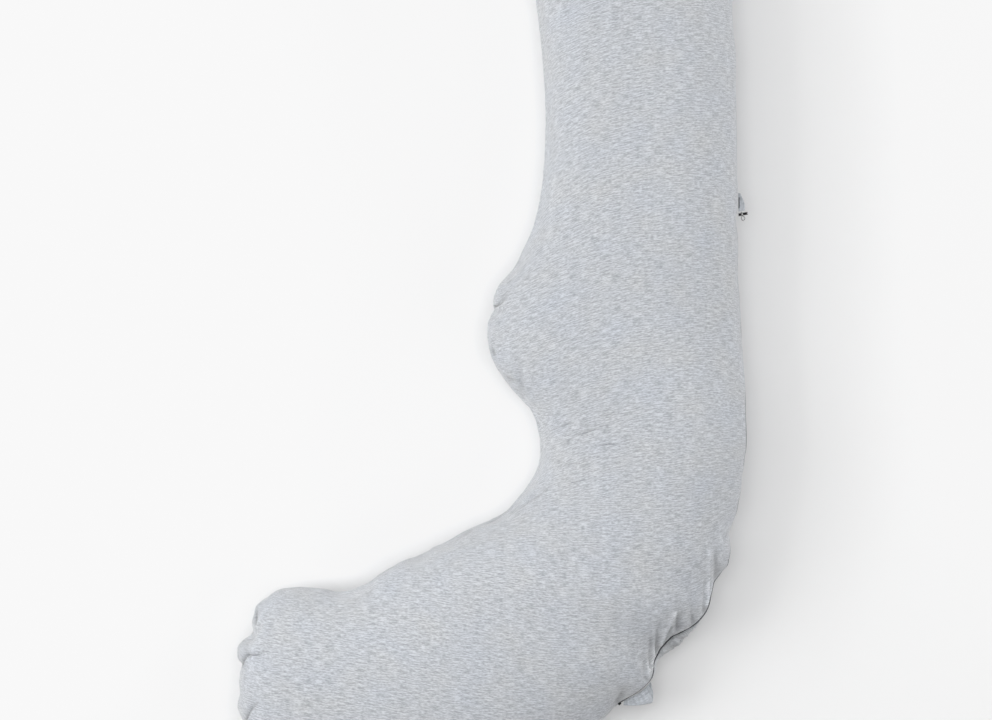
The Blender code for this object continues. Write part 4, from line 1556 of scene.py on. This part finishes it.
loop_points, loop_faces = tube_mesh(rounded_ring(LOOP_BENDS, LOOP_STEPS), LOOP_WIRE, LOOP_SIDES, closed=True)
pull_loop = mesh_object("pull_loop", placed(loop_points, SLIDER).tolist(), loop_faces)
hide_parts("zip_pull")
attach(pull_loop, "root")
print("pull:", len(pull_loop.data.polygons), "faces")

# %% Stop
STOP_BACK = Vector((1.3, 4.1, 0.5)) * MM  # it lies a little nearer the chain than the solid's block
STOP = PiecePlace(middle_of("zip_stop") + STOP_BACK, math.atan2(zip_out[-1][1], zip_out[-1][0]))
STOP_SIZE = (3.0, 3.8)  # across and up, in mm
STOP_STEPS = 24
STOP_SHARP = math.radians(50)
# Each layer: how far the outline is drawn in, and how far back it lies, both in mm.
STOP_LAYERS = ((0.45, -1.7), (0, -1.3), (0, -0.5), (0.4, -0.2), (0.4, 0.2), (0, 0.5), (0, 1.3), (0.45, 1.7))

stop_points, stop_faces = lofted(shield(*STOP_SIZE, narrow=1.0, steps=STOP_STEPS), STOP_LAYERS)
stop = mesh_object("stop_block", placed(stop_points, STOP).tolist(), stop_faces)
stop.data.set_sharp_from_angle(angle=STOP_SHARP)
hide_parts("zip_stop")
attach(stop, "root")
print("stop:", len(stop.data.polygons), "faces")

# %% [markdown]
# ## The two flaps
# At each end of the zip a bit of the cover's own jersey, folded double, stands out of the seam: a pointed
# one that leads to the slider and a broad one, with the ribs of the knit fanned out, at the lower end. They
# are small sheets of cloth. Each is a grid between the seam and its free edge, doubled into two layers that
# meet in a fold there, and its ribs are raised in the mesh because they show in its outline.

# %% Where the flaps stand
FlapRow = namedtuple("FlapRow", "root tip drop")  # places in mm seen from above, and how far the tip hangs
UPPER_FLAP = (
    FlapRow((281.4, 44.4), (283.6, 44.2), 0.0),
    FlapRow((281.4, 40.6), (285.4, 40.4), 0.3),
    FlapRow((281.4, 35.6), (287.4, 36.4), 0.6),
    FlapRow((281.5, 30.0), (288.9, 31.6), 0.8),
    FlapRow((281.7, 23.2), (289.1, 24.6), 1.0),
)
LOWER_FLAP = (
    FlapRow((180.3, -517.8), (181.2, -519.6), 0.2),
    FlapRow((178.0, -520.8), (183.8, -530.8), 2.0),
    FlapRow((173.4, -525.6), (183.6, -542.2), 4.0),
    FlapRow((167.2, -530.6), (174.4, -544.2), 3.4),
    FlapRow((160.6, -534.0), (165.8, -545.2), 2.8),
    FlapRow((154.6, -536.8), (157.2, -545.3), 1.6),
    FlapRow((150.2, -539.0), (149.4, -544.6), 0.8),
)
UPPER_CUT = (11 * MM, 24 * MM)  # from the seam to the free edge, and along the seam, folded
LOWER_CUT = (16 * MM, 46 * MM)
print(len(UPPER_FLAP), "and", len(LOWER_FLAP), "rows of places")

# %% The points and faces of a doubled flap
FLAP_THICK = 1.5 * MM
FLAP_ROWS = 60
FLAP_STEPS = 16  # from the seam to the free edge
FLAP_WIDE = FLAP_STEPS + 1
FLAP_TOP = 72.0 * MM
FLAP_SMOOTHING = 6  # passes
FOLD_START = 0.9  # from this share of its width on, the two layers close into the fold
RIBS_FULL = 0.25  # and from this one on, the ribs have their full height


def flap_points(rows, ribs, rib_height, width):
    """The points of both layers of a flap, the upper one first, and their places on the flat cloth."""
    table = np.array([(*row.root, *row.tip, row.drop) for row in rows])
    at = np.linspace(0, len(rows) - 1, FLAP_ROWS)
    fine = np.stack([np.interp(at, range(len(rows)), table[:, column]) for column in range(5)], axis=1)
    fine = relaxed(fine, FLAP_SMOOTHING) * MM
    length = reach_along(fine[:, 2:4])
    points, places = [], []
    for side in (1, -1):
        for number, row in enumerate(fine):
            wave = math.cos(2 * math.pi * ribs * number / (FLAP_ROWS - 1))
            for share in np.arange(FLAP_WIDE) / FLAP_STEPS:
                across, along = row[0:2] * (1 - share) + row[2:4] * share
                folding = max(0.0, (share - FOLD_START) / (1 - FOLD_START))
                fold = math.sqrt(max(0.0, 1 - folding**2))
                up = FLAP_TOP - row[4] * share**1.5 + side * FLAP_THICK / 2 * fold
                up += wave * rib_height * fold * min(1.0, share / RIBS_FULL)
                points.append((across, along, up))
                places.append((length[number], share * width))
    return points, places


def flap_faces():
    """The faces of both layers, and of the strip that joins them all round."""
    layer = FLAP_ROWS * FLAP_WIDE
    faces = []
    for row in range(FLAP_ROWS - 1):
        for step in range(FLAP_STEPS):
            one = row * FLAP_WIDE + step
            top = (one, one + 1, one + FLAP_WIDE + 1, one + FLAP_WIDE)
            faces += [top[::-1], tuple(index + layer for index in top)]
    rim = [(step, 0) for step in range(FLAP_WIDE)] + [(FLAP_STEPS, row) for row in range(1, FLAP_ROWS)]
    rim += [(step, FLAP_ROWS - 1) for step in range(FLAP_STEPS - 1, -1, -1)]
    rim += [(0, row) for row in range(FLAP_ROWS - 2, 0, -1)]
    rim = [row * FLAP_WIDE + step for step, row in rim]
    faces += [(one, two, two + layer, one + layer) for one, two in zip(rim, rim[1:] + rim[:1])]
    return faces


print("each flap: 2 layers of", FLAP_ROWS, "rows")

# %% Sew both flaps
SEWN_REACH = 0.02 * MM


def make_flap(name, rows, ribs, rib_height, flat):
    """A doubled flap of jersey with its ribs, and its places on the flat cloth."""
    points, places = flap_points(rows, ribs, rib_height, flat[0])
    flap = mesh_object(name, points, flap_faces())
    sew = flap.modifiers.new("sew", "WELD")
    sew.merge_threshold = SEWN_REACH
    layer_uv = flap.data.uv_layers.new(name=UV_LAYER)
    for loop in flap.data.loops:
        layer_uv.data[loop.index].uv = places[loop.vertex_index]
    flap.data = baked(flap)
    flap.modifiers.clear()
    return flap


upper_flap = make_flap("flap_by_slider", UPPER_FLAP, ribs=3, rib_height=0.3 * MM, flat=UPPER_CUT)
lower_flap = make_flap("flap_by_stop", LOWER_FLAP, ribs=9, rib_height=0.4 * MM, flat=LOWER_CUT)
for flap, node, cut in ((upper_flap, "flap_upper", UPPER_CUT), (lower_flap, "flap_lower", LOWER_CUT)):
    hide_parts(node)
    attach(flap, "root")

# %% [markdown]
# ## Finishes of the small pieces
# The coil is dark grey nylon with a soft gloss, its tape a dull weave in the same colour. The slider's
# enamel is satin and a little uneven, and the wire is bright plating with fine draw marks. The flaps take
# the jersey's own function, in a paler and bluer grey.

# %% Materials: nylon, tape, enamel and wire
ENAMEL_SPECULAR = 0.25  # half of the usual, so that the black stays deep


def speckled(name, dark, pale, size, roughness, metallic=0.0, bump=0.0):
    """A material whose colour and gloss vary a little from place to place."""
    made, tree, shader = new_material(name, roughness[0], metallic)
    place = add_node(tree, "ShaderNodeTexCoord").outputs["Object"]
    inputs = {"Vector": place, "Scale": 1 / size, "Detail": 3.0}
    patch = add_node(tree, "ShaderNodeTexNoise", inputs).outputs[0]
    feed(tree, shader.inputs["Base Color"], mixed(tree, patch, (*dark, 1), (*pale, 1)))
    gloss = maths(tree, "MULTIPLY_ADD", patch, roughness[1] - roughness[0], roughness[0])
    feed(tree, shader.inputs["Roughness"], gloss)
    if bump:
        raised = add_node(tree, "ShaderNodeBump", {"Height": patch, "Strength": 1.0, "Distance": bump})
        feed(tree, shader.inputs["Normal"], raised.outputs[0])
    return made


nylon = speckled(
    "nylon_coil", dark=(0.035, 0.038, 0.045), pale=(0.075, 0.08, 0.09), size=4 * MM, roughness=(0.35, 0.55)
)
tape_weave = speckled(
    "zip_tape", dark=(0.04, 0.043, 0.05), pale=(0.10, 0.105, 0.115), size=0.8 * MM, roughness=(0.8, 0.95),
    bump=0.1 * MM,
)
enamel = speckled(
    "black_enamel", dark=(0.006, 0.006, 0.007), pale=(0.014, 0.014, 0.016), size=2 * MM,
    roughness=(0.4, 0.55), bump=0.02 * MM,
)
bright_wire = speckled(
    "bright_wire", dark=(0.52, 0.52, 0.51), pale=(0.78, 0.78, 0.76), size=1.5 * MM, roughness=(0.15, 0.3),
    metallic=1.0,
)
enamel.node_tree.nodes["Principled BSDF"].inputs["Specular IOR Level"].default_value = ENAMEL_SPECULAR
for piece, finish in (
    (chain, nylon), (tapes, tape_weave), (slider, enamel), (stop, enamel), (pull_loop, bright_wire),
):
    piece.data.materials.append(finish)
print("nylon, tape, enamel and wire finished")

# %% Material: the flaps' jersey
FLAP_JERSEY = COVER_JERSEY._replace(
    dark=(0.38, 0.405, 0.44, 1),
    pale=(0.68, 0.71, 0.75, 1),
    streak=(10 * MM, 2.2 * MM),
    contrast=1.4,
)
flap_jersey = jersey_material("flap_jersey", FLAP_JERSEY)
for flap in (upper_flap, lower_flap):
    flap.data.materials.clear()
    flap.data.materials.append(flap_jersey)
print("flaps finished")

# %% [markdown]
# ## The sizes
# The frame and the dressed model must have nearly the same box. Both boxes are printed.

# %% Sizes
visual_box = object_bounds()
for name, (low, high) in (("frame", cad_box), ("dressed", visual_box)):
    print(name, "box in mm:", [round((b - a) / MM, 1) for a, b in zip(low, high)])
